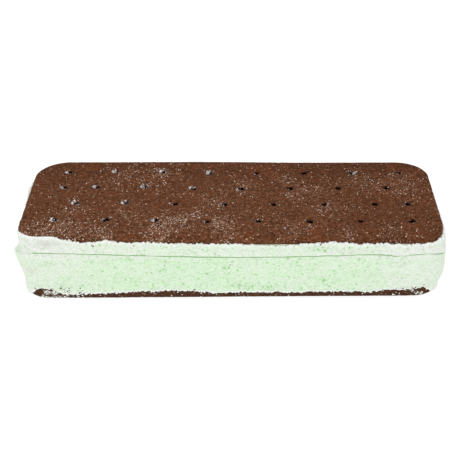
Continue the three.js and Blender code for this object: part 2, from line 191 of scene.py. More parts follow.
# Where pits crowd together on the front of the block: x, z, half width, half height, strength.
PIT_CLUSTERS = (
    (3.5, 4.4, 4.0, 1.4, 1.0), (10.8, 3.9, 2.6, 0.9, 1.2), (7.0, 17.2, 5.0, 0.5, 1.0),
    (24.5, 17.0, 2.6, 0.7, 1.0), (-16.0, 10.5, 9.0, 2.5, 0.35), (36.0, 8.5, 7.0, 3.0, 0.3),
)

# Where crumbs and smears mix at the foot of the block: x, y, reach and strength.
CRUMB_PATCHES = ((-53, -22, 3.2, 1), (-49.5, -22, 3.2, 1), (-46, -22, 2.6, 1), (53.5, -22, 3.2, 1))
STREAK_X, STREAK_REACH = -53.5, 5.5  # the streak of ice cream along the lowest edge at the left
WAFER_SIDE = (59.8, 21.6)  # a wafer's sides lie past this x and y
BLOCK_SIDE_X, BLOCK_SIDE_Y = (60.6, 60.8), (22.3, 22.5)  # the block's own skin starts between these
STRAY_CRUMBS = 0.00008  # how thick crumbs lie where there is nothing to gather them

# The smallest and largest of the loose bits, in metres.
RIME_SIZES, CRUMB_SIZES = (0.00014, 0.0005), (0.0002, 0.0006)
GRAIN_SIZES, FLECK_SIZES = (0.00016, 0.0006), (0.00018, 0.0006)

# ---------------------------------------------------------------- the stage

PICTURE = 460  # pixels across the picture, which the focal length and the offset are given in
FOCAL_LENGTH, OFFSET_X, OFFSET_Y = 1027.4, 1.55, -3.26
CAMERA_TARGET, CAMERA_DISTANCE = (LENGTH_SHIFT, 0, 10.365), 312.3  # in mm
CAMERA_HEIGHT, CAMERA_TURN, CAMERA_ROLL = map(math.radians, (30.49, -0.91, -0.63))
WHITE = (1, 1, 1, 1)
SQUARE = ((-1, -1), (1, -1), (1, 1), (-1, 1))
FLOOR_REACH = 3.0
FLOOR_GLOW = 0.82
FLOOR_MOTTLE = 0.98  # how dark the floor's clouds are
SKY_STRENGTH = 0.9
# Each soft light: its place and side in metres, and its power in watts.
LIGHTS = {"front light": ((-0.25, -0.9, 0.55), 0.8, 2.2), "top light": ((0.1, 0.15, 1.1), 0.9, 2.2)}


# ---------------------------------------------------------------- settings


def length(name, description, default, **more):
    return FloatProperty(name=name, description=description, default=default, unit="LENGTH", **more)


def amount(name, description, default, **more):
    return FloatProperty(name=name, description=description, default=default, **more)


def colour(name, description, default):
    return FloatVectorProperty(
        name=name, description=description, default=default, subtype="COLOR", size=3, min=0, max=1
    )


class WaferSizes(bpy.types.PropertyGroup):
    span: length("Length", "Length of a wafer", 0.121)
    width: length("Width", "Width of a wafer", 0.0446)
    front_corner: length("Front Corner Radius", "Radius of the top wafer's front corners", 0.006)
    back_corner: length("Back Corner Radius", "Radius of the top wafer's back corners", 0.0095)
    bottom_corner: length("Bottom Corner Radius", "Radius of the bottom wafer's corners", 0.0076)
    column_pitch: length("Column Pitch", "From docker hole to docker hole along a row", 0.01469)
    row_pitch: length("Row Pitch", "From one row of docker holes to the next", 0.00995)
    hole_mouth: length("Hole Mouth Radius", "Radius of a docker hole at its mouth", 0.00095)
    hole_floor: length("Hole Floor Radius", "Radius of a docker hole at its floor", 0.00065)
    hole_depth: length("Hole Depth", "Depth of a docker hole under the docked face", 0.0023)
    dish_radius: length("Dish Radius", "Radius of the dish pressed round each hole", 0.0021)
    dish_depth: length("Dish Depth", "Depth of the dish pressed round each hole", 0.00028)
    net_step: length("Net Step", "Spacing of the points on a docked face", 0.0003, min=0.00025)
    swell: length("Swell Height", "Height of the soft waves that baking leaves", 0.00007)
    grain: length("Grain Height", "Height of the fine baked grain", 0.00005)
    pore_radius: length("Pore Radius", "Radius of the largest pinholes in a wafer", 0.00045)
    pore_depth: length("Pore Depth", "Depth of the largest pinholes in a wafer", 0.00012)
    pores: amount("Pores", "Pinholes per square metre", 90000)


class IceCreamSizes(bpy.types.PropertyGroup):
    crease_opening: length("Crease Opening", "Width of the crease round the block", 0.00027)
    point_step: length("Point Step", "Spacing of the points on its side", 0.0003, min=0.00027)
    ragged: length("Lip Raggedness", "How far the lips stray up and down", 0.0006)
    swell: length("Swell Height", "Height of the soft waves on the block's side", 0.00012)
    grain: length("Grain Height", "Height of the fine frozen grain", 0.00007)
    pore_radius: length("Pore Radius", "Radius of the largest air pores", 0.0006)
    pore_depth: length("Pore Depth", "Depth of the largest air pores", 0.00035)
    pores: amount("Pores", "Air pores per square metre where they are thickest", 900000)


class BitAmounts(bpy.types.PropertyGroup):
    frost: amount("Frost", "Crystals per square metre where frost is thickest", 3.0e6)
    rime: amount("Rime", "Grains per square metre where rime is thickest", 9.0e6)
    crumbs: amount("Crumbs", "Crumbs per square metre where they are thickest", 8.0e6)
    smears: amount("Smears", "Flecks of ice cream per square metre on a wafer's side", 9.0e6)
    lip_grains: amount("Lip Grains", "Grains of ice cream per square metre along the lips", 7.0e6)
    under: amount("Underside Share", "How much of the frost the underside has", 0.5, min=0, max=1)
    smallest: length("Smallest Crystal", "Smallest frost crystal", 0.00016)
    largest: length("Largest Crystal", "Largest frost crystal", 0.0005)
    seed: IntProperty(name="Seed", description="Seed of everything that is scattered", default=7)


class SandwichColours(bpy.types.PropertyGroup):
    wafer: colour("Wafer", "Baked chocolate wafer", (0.144, 0.0565, 0.0262))
    wafer_dark: colour("Dark Wafer", "Wafer where it baked darkest", (0.050, 0.0165, 0.0066))
    wafer_light: colour("Light Wafer", "Wafer where its grain is palest", (0.235, 0.110, 0.061))
    wafer_ruddy: colour("Ruddy Wafer", "Wafer where it baked reddest", (0.140, 0.042, 0.0155))
    # Painted shade: near black, laid inside the docker holes.
    hole: colour("Hole", "Inside a docker hole", (0.004, 0.0025, 0.002))
    # Painted shade over the whole bottom wafer, which the bright floor lights too well; also the
    # crumbs' own dark brown.
    shaded_wafer_and_crumb_brown: colour("Wafer Shade And Crumb", "Bottom wafer, where it has drawn damp", (0.050, 0.026, 0.017))
    bloom: colour("Bloom", "Thin frost on the wafer", (0.30, 0.18, 0.125))
    ice_cream: colour("Ice Cream", "Mint ice cream", (0.655, 0.825, 0.605))
    ice_cream_pale: colour("Pale Ice Cream", "Ice cream where it is whitest", (0.775, 0.795, 0.755))
    ice_cream_white: colour("White Ice Cream", "Ice cream along the lips", (0.85, 0.89, 0.83))
    ice_cream_shade: colour("Shade", "Tint of the finest grain", (0.87, 0.89, 0.85))
    # Also the colour of the painted shade in pores and where pits cluster.
    ice_cream_green: colour("Green Ice Cream", "Ice cream in pores and smudges", (0.27, 0.55, 0.20))
    # Painted shade deep in the crease.
    painted_crease_shade: colour("Crease", "Ice cream deep in the crease", (0.24, 0.55, 0.14))
    ice_cream_grey: colour("Grey Ice Cream", "Ice cream that a wafer rubbed on", (0.50, 0.50, 0.44))
    frost: colour("Frost", "The whitest frost crystals", (0.95, 0.80, 0.68))
    frost_warm: colour("Warm Frost", "Crystals bedded in the wafer", (0.40, 0.23, 0.14))
    rime: colour("Rime", "Rime in the docker holes", (0.92, 0.93, 0.93))
    rime_deep: colour("Deep Rime", "Rime where it is thinnest", (0.60, 0.58, 0.57))
    crumb: colour("Crumb", "Loose wafer crumbs", (0.085, 0.036, 0.020))
    floor: colour("Floor", "The floor under the sandwich", (0.25, 0.25, 0.25))


class SandwichSettings(bpy.types.PropertyGroup):
    wafer: PointerProperty(type=WaferSizes)
    ice_cream: PointerProperty(type=IceCreamSizes)
    bits: PointerProperty(type=BitAmounts)
    colours: PointerProperty(type=SandwichColours)


# ---------------------------------------------------------------- node trees


class Amount:
    """A socket that holds a number. An expression on amounts adds the Math nodes it needs."""

    def __init__(self, plan, socket):
        self.plan, self.socket = plan, socket

    def _math(self, operation, *terms):
        made = self.plan.node("ShaderNodeMath", {"operation": operation}, dict(enumerate(terms)))
        return Amount(self.plan, made.outputs[0])

    def __add__(self, other):
        return self._math("ADD", self, other)

    def __sub__(self, other):
        return self._math("SUBTRACT", self, other)

    def __rsub__(self, other):
        return self._math("SUBTRACT", other, self)

    def __mul__(self, other):
        return self._math("MULTIPLY", self, other)

    def __truediv__(self, other):
        return self._math("DIVIDE", self, other)

    def __rtruediv__(self, other):
        return self._math("DIVIDE", other, self)

    def __pow__(self, other):
        return self._math("POWER", self, other)

    __radd__ = __add__
    __rmul__ = __mul__

    def least(self, other):
        return self._math("MINIMUM", self, other)

    def most(self, other):
        return self._math("MAXIMUM", self, other)

    def size(self):
        return self._math("ABSOLUTE", self)

    def ramp(self, low, high):
        """0 up to low, 1 from high, and smooth between."""
        made = self.plan.node(
            "ShaderNodeMapRange", {"interpolation_type": "SMOOTHSTEP"}, {0: self, 1: low, 2: high}
        )
        return Amount(self.plan, made.outputs[0])


class Plan:
    """Adds nodes to one node tree."""

    def __init__(self, tree):
        self.tree = tree

    def node(self, kind, settings=None, sockets=None):
        """A node of this type: its settings come first, then the values or links of its sockets."""
        made = self.tree.nodes.new(kind)
        for key, value in (settings or {}).items():
            setattr(made, key, value)
        for key, value in (sockets or {}).items():
            if isinstance(value, Amount):
                value = value.socket
            if isinstance(value, bpy.types.NodeSocket):
                self.tree.links.new(value, made.inputs[key])
            else:
                made.inputs[key].default_value = value
        return made

    def amount(self, kind, settings=None, sockets=None, output=0):
        """The same, as a number that expressions can use."""
        return Amount(self, self.node(kind, settings, sockets).outputs[output])

    def vector(self, operation, sockets):
        """Maths on vectors."""
        return self.node("ShaderNodeVectorMath", {"operation": operation}, sockets).outputs[0]

    def clouds(self, where, size, detail, roughness, shift, drag):
        """Cloudy noise from 0 to 1 whose lumps are about `size` metres across. They are `drag`
        times as long as they are high."""
        scale = (1 / (size * drag), 1 / (size * drag), 1 / size)
        place = self.vector("MULTIPLY_ADD", {0: where, 1: scale, 2: (shift, 2 * shift, -shift)})
        sockets = {"Vector": place, "Scale": 1.0, "Detail": detail, "Roughness": roughness}
        return self.amount("ShaderNodeTexNoise", {}, sockets)


class Finish(Plan):
    """The plan of one material."""

    def __init__(self, name, preview):
        self.material = bpy.data.materials.new(name)
        self.material.use_nodes = True
        self.material.diffuse_color = (*preview, 1)
        super().__init__(self.material.node_tree)
        self.tree.nodes.clear()
        self.place = self.node("ShaderNodeTexCoord").outputs["Object"]

    def noise(self, size, detail=2.0, roughness=0.5, shift=0.0, drag=1.0):
        return self.clouds(self.place, size, detail, roughness, shift, drag)

    def mark(self, name):
        """A number that was stored on the mesh."""
        return self.amount("ShaderNodeAttribute", {"attribute_name": name}, output="Fac")

    def axis(self, name):
        """How far along an axis a point lies, in metres."""
        return self.amount("ShaderNodeSeparateXYZ", {}, {0: self.place}, output=name)

    def coats(self, base, *coats):
        """A colour and the coats laid over it in turn. Each coat is a share, which is 1 where the
        coat covers and 0 where it is missing, then its colour, and how it blends if not plainly."""
        colour = (*base, 1)
        for share, tint, *blend in coats:
            settings = {"data_type": "RGBA", "blend_type": blend[0] if blend else "MIX"}
            mixed = self.node("ShaderNodeMix", settings, {0: share, 6: colour, 7: (*tint, 1)})
            colour = mixed.outputs[2]
        return colour

    def bump(self, height, distance, strength):
        """A normal that makes `height`, times `distance` metres, look like relief."""
        sockets = {"Height": height, "Distance": distance, "Strength": strength}
        return self.node("ShaderNodeBump", {}, sockets).outputs[0]

    def surface(self, sockets):
        """Ends the material in one surface shader and returns the material."""
        shader = self.node("ShaderNodeBsdfPrincipled", {}, sockets)
        self.node("ShaderNodeOutputMaterial", {}, {"Surface": shader.outputs[0]})
        return self.material


class Shaping(Plan):
    """The plan of one geometry node tree, with one geometry input and named sizes."""

    KINDS = {float: "NodeSocketFloat", int: "NodeSocketInt"}

    def __init__(self, name, sizes):
        super().__init__(bpy.data.node_groups.new(name, "GeometryNodeTree"))
        self.tree.is_modifier = True
        add_socket = self.tree.interface.new_socket
        for way in ("INPUT", "OUTPUT"):
            add_socket("Geometry", in_out=way, socket_type="NodeSocketGeometry")
        self.sizes = sizes
        self.identifiers = {}
        for label, value in sizes.items():
            made = add_socket(label, in_out="INPUT", socket_type=self.KINDS[type(value)])
            self.identifiers[label] = made.identifier
        self.entry = self.node("NodeGroupInput")
        self.geometry = self.entry.outputs["Geometry"]

    def given(self, label):
        return Amount(self, self.entry.outputs[label])

    def position(self):
        return self.node("GeometryNodeInputPosition").outputs[0]

    def normal(self):
        return self.node("GeometryNodeInputNormal").outputs[0]

    def mark(self, name):
        """A number that was stored on the mesh."""
        kind = "GeometryNodeInputNamedAttribute"
        return self.amount(kind, {"data_type": "FLOAT"}, {"Name": name})

    def noise(self, size, detail=2.0, shift=0.0, drag=1.0):
        """Cloudy noise from about -1 to 1."""
        return (self.clouds(self.position(), size, detail, 0.5, shift, drag) - 0.5) * 2.0

    def nearest(self, points):
        """The distance to the nearest of some points, and a random number that goes with it."""
        sockets = {0: points, "Sample Position": self.position()}
        near = self.node("GeometryNodeProximity", {"target_element": "POINTS"}, sockets)
        sockets = {"Vector": near.outputs["Position"]}
        pick = self.amount("ShaderNodeTexWhiteNoise", {"noise_dimensions": "3D"}, sockets)
        return Amount(self, near.outputs["Distance"]), pick

    def spread(self, surface, density, seed):
        """Points at random on a surface: the outputs "Points" and "Rotation"."""
        sockets = {"Mesh": surface, "Density": density, "Seed": seed}
        kind = "GeometryNodeDistributePointsOnFaces"
        return self.node(kind, {"distribute_method": "RANDOM"}, sockets).outputs

    def along(self, direction, distance):
        """A vector in that direction, times a number."""
        return self.vector("SCALE", {0: direction, "Scale": distance})

    def store(self, geometry, name, value):
        """The geometry with a number stored on its points."""
        settings = {"data_type": "FLOAT", "domain": "POINT"}
        sockets = {"Geometry": geometry, "Name": name, "Value": value}
        return self.node("GeometryNodeStoreNamedAttribute", settings, sockets).outputs[0]

    def move(self, geometry, offset):
        sockets = {"Geometry": geometry, "Offset": offset}
        return self.node("GeometryNodeSetPosition", {}, sockets).outputs[0]

    def end(self, geometry, material):
        """Realize Instances and Set Material, and the output after them."""
        real = self.node("GeometryNodeRealizeInstances", {}, {"Geometry": geometry})
        sockets = {"Geometry": real.outputs[0], "Material": material}
        painted = self.node("GeometryNodeSetMaterial", {}, sockets)
        self.node("NodeGroupOutput", {}, {0: painted.outputs[0]})

    def apply_to(self, obj, name):
        """Runs the tree on an object and returns the result as a plain mesh."""
        modifier = obj.modifiers.new(self.tree.name, "NODES")
        modifier.node_group = self.tree
        for label, value in self.sizes.items():
            modifier[self.identifiers[label]] = value
        bpy.context.view_layer.update()
        graph = bpy.context.evaluated_depsgraph_get()
        mesh = bpy.data.meshes.new_from_object(obj.evaluated_get(graph), depsgraph=graph)
        obj.modifiers.remove(modifier)
        mesh.name = name
        return mesh


# ---------------------------------------------------------------- meshes


def new_mesh(name, points_mm, faces):
    mesh = bpy.data.meshes.new(name)
    mesh.from_pydata((np.asarray(points_mm) * MM).tolist(), [], faces)
    mesh.validate()
    return mesh


def new_object(name, mesh):
    obj = bpy.data.objects.new(name, mesh)
    bpy.context.scene.collection.objects.link(obj)
    return obj


def points_of(mesh):
    """The mesh's points as an array, in mm."""
    flat = np.empty(len(mesh.vertices) * 3, np.float32)
    mesh.vertices.foreach_get("co", flat)
    return flat.reshape(-1, 3).astype(float) / MM


def set_points(mesh, points):
    """Moves the mesh's points to these places, in mm."""
    mesh.vertices.foreach_set("co", (points * MM).astype(np.float32).ravel())
    mesh.update()


def keep_above_floor(mesh):
    """Presses flat whatever would reach under what the sandwich rests on."""
    points = points_of(mesh)
    points[:, 2] = np.maximum(points[:, 2], 0)
    set_points(mesh, points)


def marks_of(mesh, name):
    """The numbers that are stored under a name."""
    values = np.empty(len(mesh.vertices), np.float32)
    mesh.attributes[name].data.foreach_get("value", values)
    return values


def store(mesh, **marks):
    """Stores one number per point under each name."""
    for name, values in marks.items():
        old = mesh.attributes.get(name)
        if old:
            mesh.attributes.remove(old)
        made = mesh.attributes.new(name, "FLOAT", "POINT")
        made.data.foreach_set("value", np.asarray(values, np.float32))


def finish_piece(obj, node):
    """Hands one finished piece to the frame, in place of a CAD node where one is named."""
    triangles = sum(len(p.vertices) - 2 for p in obj.data.polygons)
    if not 0 < triangles < MOST_TRIANGLES:
        raise RuntimeError(f"{obj.name} has {triangles} triangles")
    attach(obj, "root")
    if node:
        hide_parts(node)


def smoothstep(low, high, value):
    t = np.clip((value - low) / (high - low), 0, 1)
    return t * t * (3 - 2 * t)


def clouds(points, size, seed):
    """Soft noise from -1 to 1 at each point, with lumps about `size` mm across."""
    shift = Vector((seed, 1.7 * seed, -2.3 * seed))
    return np.array([noise.noise(Vector(p) / size + shift) for p in points])


def unevenness(share, seed):
    """Soft waves from about -1 to 1 that close on themselves once round the outline."""
    turn, waves = 2 * math.pi, ((0.5, 5, 1), (0.3, 13, 2.3), (0.2, 31, 5.1))
    return sum(high * np.sin(turn * (count * share + salt * seed)) for high, count, salt in waves)


def bell(value, middle, reach):
    """A soft bump: 1 in the middle and nearly 0 from twice its reach."""
    return np.exp(-(((value - middle) / reach) ** 2))


def bumps_at(x, y, bumps):
    """The sum of a list's soft bumps at each point."""
    total = np.zeros_like(x)
    for bump_x, bump_y, reach, height in bumps:
        total += height * np.exp(-((x - bump_x) ** 2 + (y - bump_y) ** 2) / reach**2)
    return total


def spots_on_front(points, spots):
    """The sum of a list's soft oval spots at each point of the block's front."""
    x, y, z = points.T
    total = np.zeros_like(x)
    for spot_x, spot_z, half_width, half_height, strength in spots:
        across, up = (x - spot_x) / half_width, (z - spot_z) / half_height
        total += strength * np.exp(-(across**2) - up**2)
    return total * smoothstep(-18, -20, y)


def tapered(x, y, taper):
    """Where x lies along a sandwich that is a little shorter at its front."""
    return LENGTH_SHIFT + x * (1 + taper * y)


def corners_of(wafer, turned_over):
    """The radii of a wafer's front and back corners, in mm."""
    if turned_over:
        return wafer.bottom_corner / MM, wafer.bottom_corner / MM
    return wafer.front_corner / MM, wafer.back_corner / MM


def bowed(x, y, half_x, half_y):
    """Points of the top wafer, whose sides are not quite straight."""
    back = BACK_BOW * (1 - smoothstep(BACK_BOW_FULL, BACK_BOW_STARTS, x))
    left = LEFT_BOW * np.maximum(0, -x / half_x) ** LEFT_BOW_POWER
    return x - left, y + back * np.maximum(0, y / half_y) ** 2


def wafer_outline(wafer, turned_over, count):
    """Even steps round a wafer, from the middle of its front and to the right: the points
    and their outward normals. Its legs are sides and corners in turn: the odd ones are corners."""
    half_x, half_y = wafer.span / MM / 2, wafer.width / MM / 2
    front, back = corners_of(wafer, turned_over)
    front_arc, back_arc, side = math.pi / 2 * front, math.pi / 2 * back, 2 * half_y - front - back
    right = (half_x - front, front_arc, side, back_arc)
    ends = np.cumsum((*right, 2 * (half_x - back), *reversed(right)))
    points, normals = [], []
    for i in range(count):
        along = ends[-1] * i / count
        leg = int(np.searchsorted(ends, along))
        along -= ends[leg - 1] if leg else 0
        if leg % 2:
            corner = back if leg in (3, 5) else front
            angle = math.radians({1: -90, 3: 0, 5: 90, 7: 180}[leg]) + along / corner
            normal = (math.cos(angle), math.sin(angle))
            x = (1 if leg < 4 else -1) * (half_x - corner) + corner * normal[0]
            y = (1 if leg in (3, 5) else -1) * (half_y - corner) + corner * normal[1]
        elif leg in (2, 6):
            normal = (1 if leg == 2 else -1, 0)
            x, y = normal[0] * half_x, front - half_y + along if leg == 2 else half_y - back - along
        else:
            normal = (0, 1 if leg == 4 else -1)
            x = {0: along, 4: half_x - back - along, 8: front - half_x + along}[leg]
            y = normal[1] * half_y
        points.append((x, y))
        normals.append(normal)
    points, normals = np.array(points), np.array(normals)
    if not turned_over:
        points = np.stack(bowed(*points.T, half_x, half_y), 1)
    return points, normals


# ---------------------------------------------------------------- wafers


def docker_centres(wafer):
    """Where the docker pins went in, in mm, row by row from the front."""
    pitch, row_pitch = wafer.column_pitch / MM, wafer.row_pitch / MM
    reach = (DOCKER_COLUMNS - 1) / 2 * pitch
    rows = []
    for row, stagger in enumerate(DOCKER_STAGGER):
        even = (np.arange(DOCKER_COLUMNS) - (DOCKER_COLUMNS - 1) / 2) * pitch
        x = np.clip(even + stagger * pitch / 3, -reach, reach) + DOCKER_OFFSET
        drift = DOCKER_DRIFT * (1 - smoothstep(DOCKER_DRIFT_ENDS, DOCKER_DRIFT_STARTS, x))
        y = (row - (len(DOCKER_STAGGER) - 1) / 2) * row_pitch + DOCKER_BACK + drift
        rows.append(np.stack([LENGTH_SHIFT + x, y], 1))
    return np.array(rows)


def round_corners(x, y, half_x, half_y, corners):
    """Presses the square corners of a net into round ones."""
    corner = np.where(y < 0, *corners)
    u, v = (np.abs(x) - (half_x - corner)) / corner, (np.abs(y) - (half_y - corner)) / corner
    inside = (u > 0) & (v > 0)
    pull = np.where(inside, np.maximum(u, v) / np.maximum(np.hypot(u, v), TINY), 1)
    x = np.where(inside, np.sign(x) * (half_x - corner + u * pull * corner), x)
    y = np.where(inside, np.sign(y) * (half_y - corner + v * pull * corner), y)
    return x, y


def gather(x, y, centres):
    """Draws a net in towards each docker hole, so that its wall is finely meshed."""
    for centre_x, centre_y in centres.reshape(-1, 2):
        away = np.hypot(x - centre_x, y - centre_y)
        near = (away < NET_FROM[-1]) & (away > 0)
        scale = np.where(near, np.interp(away, NET_FROM, NET_TO) / np.maximum(away, TINY), 1)
        x, y = centre_x + (x - centre_x) * scale, centre_y + (y - centre_y) * scale
    return x, y


def wafer_slab(wafer, inset, seed, turned_over):
    """A wafer with its docked face up and that face at height 0, still without its holes.
    The mark "face" is 1 on the docked face, and "skin" is 0 where another piece hides it."""
    corners = [corner - WAFER_EDGE for corner in corners_of(wafer, turned_over)]
    half_x = wafer.span / MM / 2 - inset - WAFER_EDGE
    half_y = wafer.width / MM / 2 - inset - WAFER_EDGE
    step = wafer.net_step / MM
    x, y = np.meshgrid(*(np.linspace(-h, h, round(2 * h / step) + 1) for h in (half_x, half_y)))
    x, y = round_corners(x, y, half_x, half_y, corners)
    number = np.arange(x.size).reshape(x.shape)
    border = np.concatenate([number[0, :-1], number[:-1, -1], number[-1, :0:-1], number[:0:-1, 0]])
    edge = np.stack([x.ravel()[border], y.ravel()[border], np.zeros(len(border))], 1)

    def settled(x, y):
        """The place of points in the sandwich: bowed on the top wafer, and tapered."""
        if turned_over:
            return tapered(x, y, -FRONT_TAPER), y
        x, y = bowed(x, y, half_x, half_y)
        return tapered(x, y, FRONT_TAPER), y

    x, y = gather(*settled(x, y), docker_centres(wafer))
    points = [np.stack([x.ravel(), y.ravel(), np.zeros(x.size)], 1)]
    squares = [number[:-1, :-1], number[:-1, 1:], number[1:, 1:], number[1:, :-1]]
    faces = np.stack(squares, -1).reshape(-1, 4).tolist()

    corner = np.where(edge[:, 1] < 0, *corners)
    core_x = np.clip(edge[:, 0], corner - half_x, half_x - corner)
    core_y = np.clip(edge[:, 1], corner - half_y, half_y - corner)
    outward = np.stack([edge[:, 0] - core_x, edge[:, 1] - core_y, np.zeros(len(edge))], 1)
    outward /= np.linalg.norm(outward, axis=1)[:, None]
    wander = EDGE_SWELL + EDGE_WANDER * unevenness(np.arange(len(border)) / len(border), seed)
    section = list(EDGE_ROUNDING)
    upright = np.linspace(SIDE_STARTS, WAFER_THICKNESS - SIDE_ENDS, SIDE_RINGS)
    section += [(WAFER_EDGE, down) for down in upright]
    out, over = HIDDEN_ROUNDING
    section += [(out, WAFER_THICKNESS - over), (0, WAFER_THICKNESS)]
    upper = border
    for level, (out, down) in enumerate(section):
        ring = edge + outward * out
        ring[:, 2] = -down
        share = min(1, (level + 1) / len(EDGE_ROUNDING))
        crumble = EDGE_CRUMBLE * clouds(ring, 0.8, seed) + EDGE_LUMPS * clouds(ring, 2.6, seed + 5)
        ring += outward * (share * (wander + crumble))[:, None]
        ring[:, 0], ring[:, 1] = settled(ring[:, 0], ring[:, 1])
        lower = sum(map(len, points)) + np.arange(len(ring))
        side = np.stack([lower, np.roll(lower, -1), np.roll(upper, -1), upper], 1)
        faces += side.tolist()
        points.append(ring)
        upper = lower
    middle = sum(map(len, points))
    points.append(np.array([[LENGTH_SHIFT, 0, -WAFER_THICKNESS]]))
    faces += [(middle, int(b), int(a)) for a, b in zip(upper, np.roll(upper, -1))]
    mesh = new_mesh("wafer slab", np.concatenate(points), faces)
    on_face = np.zeros(len(mesh.vertices))
    on_face[: x.size] = 1
    skin = np.ones(len(mesh.vertices))
    skin[upper] = skin[middle] = 0
    store(mesh, face=on_face, skin=skin, pitting=skin)
    return mesh


def docking_plan(wafer, pins):
    """The tree that presses the docker holes: each is a tapered hole in a shallow dish."""
    plan = Shaping(
        "docker holes",
        {
            "Mouth Radius": wafer.hole_mouth,
            "Floor Radius": wafer.hole_floor,
            "Hole Depth": wafer.hole_depth,
            "Dish Radius": wafer.dish_radius,
            "Dish Depth": wafer.dish_depth,
        },
    )
    pin_points = plan.node("GeometryNodeObjectInfo", {}, {"Object": pins}).outputs["Geometry"]
    away, pick = plan.nearest(pin_points)
    ragged = plan.noise(0.0007, 2.0) * 0.00016 + plan.noise(0.0021, 1.0, 3.0) * 0.00014
    away = away * (0.86 + pick * 0.3) + ragged
    mouth, floor = plan.given("Mouth Radius"), plan.given("Floor Radius")
    dish_edge, dish_depth = plan.given("Dish Radius"), plan.given("Dish Depth")
    dish = 1 - away.ramp(mouth * 0.8, dish_edge)
    hole = 1 - away.ramp(floor, mouth * 1.08)
    rim = (1 - away.ramp(dish_edge, dish_edge * 1.3)) * (1 - dish)
    face = plan.mark("face")
    depth = dish * dish_depth + hole * (plan.given("Hole Depth") - dish_depth)
    # The mark "hollow" is 1 inside the holes; the wafer's finish paints shade there from it.
    marked = plan.store(plan.geometry, "hollow", hole * face)
    up = plan.node("ShaderNodeCombineXYZ", {}, {2: (rim * (DISH_RIM * MM) - depth) * face})
    return plan, plan.move(marked, up.outputs[0])


def weather(plan, geometry, sizes, seed, drag=1.0):
    """Adds soft swells, fine grain and small pores to a surface, where its mark "skin" is 1."""
    skin = plan.mark("skin")
    waves = plan.noise(0.008, 1.0, seed, drag) * 0.6 + plan.noise(0.0028, 2.0, seed + 1, drag) * 0.4
    lift = waves * sizes.swell + plan.noise(0.0011, 3.0, seed + 2, drag) * sizes.grain
    spots = plan.spread(geometry, plan.mark("pitting") * sizes.pores, int(seed))
    away, pick = plan.nearest(spots["Points"])
    share = 0.28 + pick**4.0 * 0.72
    away = away + plan.noise(0.0006, 2.0, seed + 5) * 0.00011
    pore = (1 - (away / (share * sizes.pore_radius)).ramp(0.25, 1)) * skin
    # The mark "pore" is highest in the largest pits; the finishes paint shade there from it.
    marked = plan.store(geometry, "pore", pore * (0.25 + share * 0.75))
    lift = (lift - pore * share * sizes.pore_depth) * skin
    return plan.move(marked, plan.along(plan.normal(), lift))


def frost_on(points, mirrored, seed):
    """How thick frost lies at points of a docked face, from 0 to 1."""
    x, y = points[:, 0], points[:, 1]
    broad = 0.5 + 0.5 * clouds(points, 9, seed)
    fine = 0.5 + 0.5 * clouds(points, 1.6, seed + 3)
    thick = 0.03 + 0.16 * broad + 1.15 * bumps_at(-x if mirrored else x, y, FROST_PATCHES)
    return np.clip(thick * (0.25 + 1.3 * fine), 0, 1)


def rime_on(points, centres):
    """How thick rime lies round the docker holes, from 0 to 1."""
    thick = np.zeros(len(points))
    for row, strengths in zip(centres, HOLE_RIME):
        for (x, y), strength in zip(row, strengths):
            dx, dy = points[:, 0] - x, points[:, 1] - y
            away = np.maximum(np.hypot(dx, dy), 1e-6)
            angle = 0.5 * math.sin(5.3 * x + 3.1 * y) + (math.pi if strength > 0 else 0)
            side = (math.cos(angle) * dx + math.sin(angle) * dy) / away
            ring = smoothstep(0.7, 0.9, away) * (1 - smoothstep(1.15, 1.6, away))
            near = np.clip(0.1 + 0.95 * side, 0.25, 1)
            thick = np.maximum(thick, abs(strength) * ring * near)
    rimed = thick > 0
    thick[rimed] *= smoothstep(-0.5, 0.25, clouds(points[rimed], 0.5, 8))
    return thick


def fill_with_rime(mesh, points):
    """Raises the surface where rime fills part of a docker hole."""
    filled = smoothstep(0.45, 0.85, marks_of(mesh, "rime"))
    hollow = marks_of(mesh, "hollow")
    points = points.copy()
    points[:, 2] *= 1 - filled * smoothstep(0, 0.1, hollow) * 0.9
    set_points(mesh, points)
    store(mesh, hollow=hollow * (1 - filled))


def smear_on(points):
    """Where flecks of ice cream stick to the side of the wafer that is turned over."""
    x, y, z = points[:, 0], -points[:, 1], -points[:, 2]
    on_side = smoothstep(0.05, 0.5, z) * (1 - smoothstep(2.6, 3.0, z))
    near = bumps_at(x, y, CRUMB_PATCHES)
    edge = np.maximum(np.abs(x - LENGTH_SHIFT) - WAFER_SIDE[0], np.abs(y) - WAFER_SIDE[1]) > 0
    patchy = smoothstep(-0.15, 0.45, clouds(points, 1.1, 5))
    streak = bell(x, STREAK_X, STREAK_REACH) * (1 - smoothstep(0.35, 1.0, z)) * (y < 0) * (z > 0.02)
    return np.clip(((0.045 + near * patchy) * on_side + streak) * edge, 0, 1)


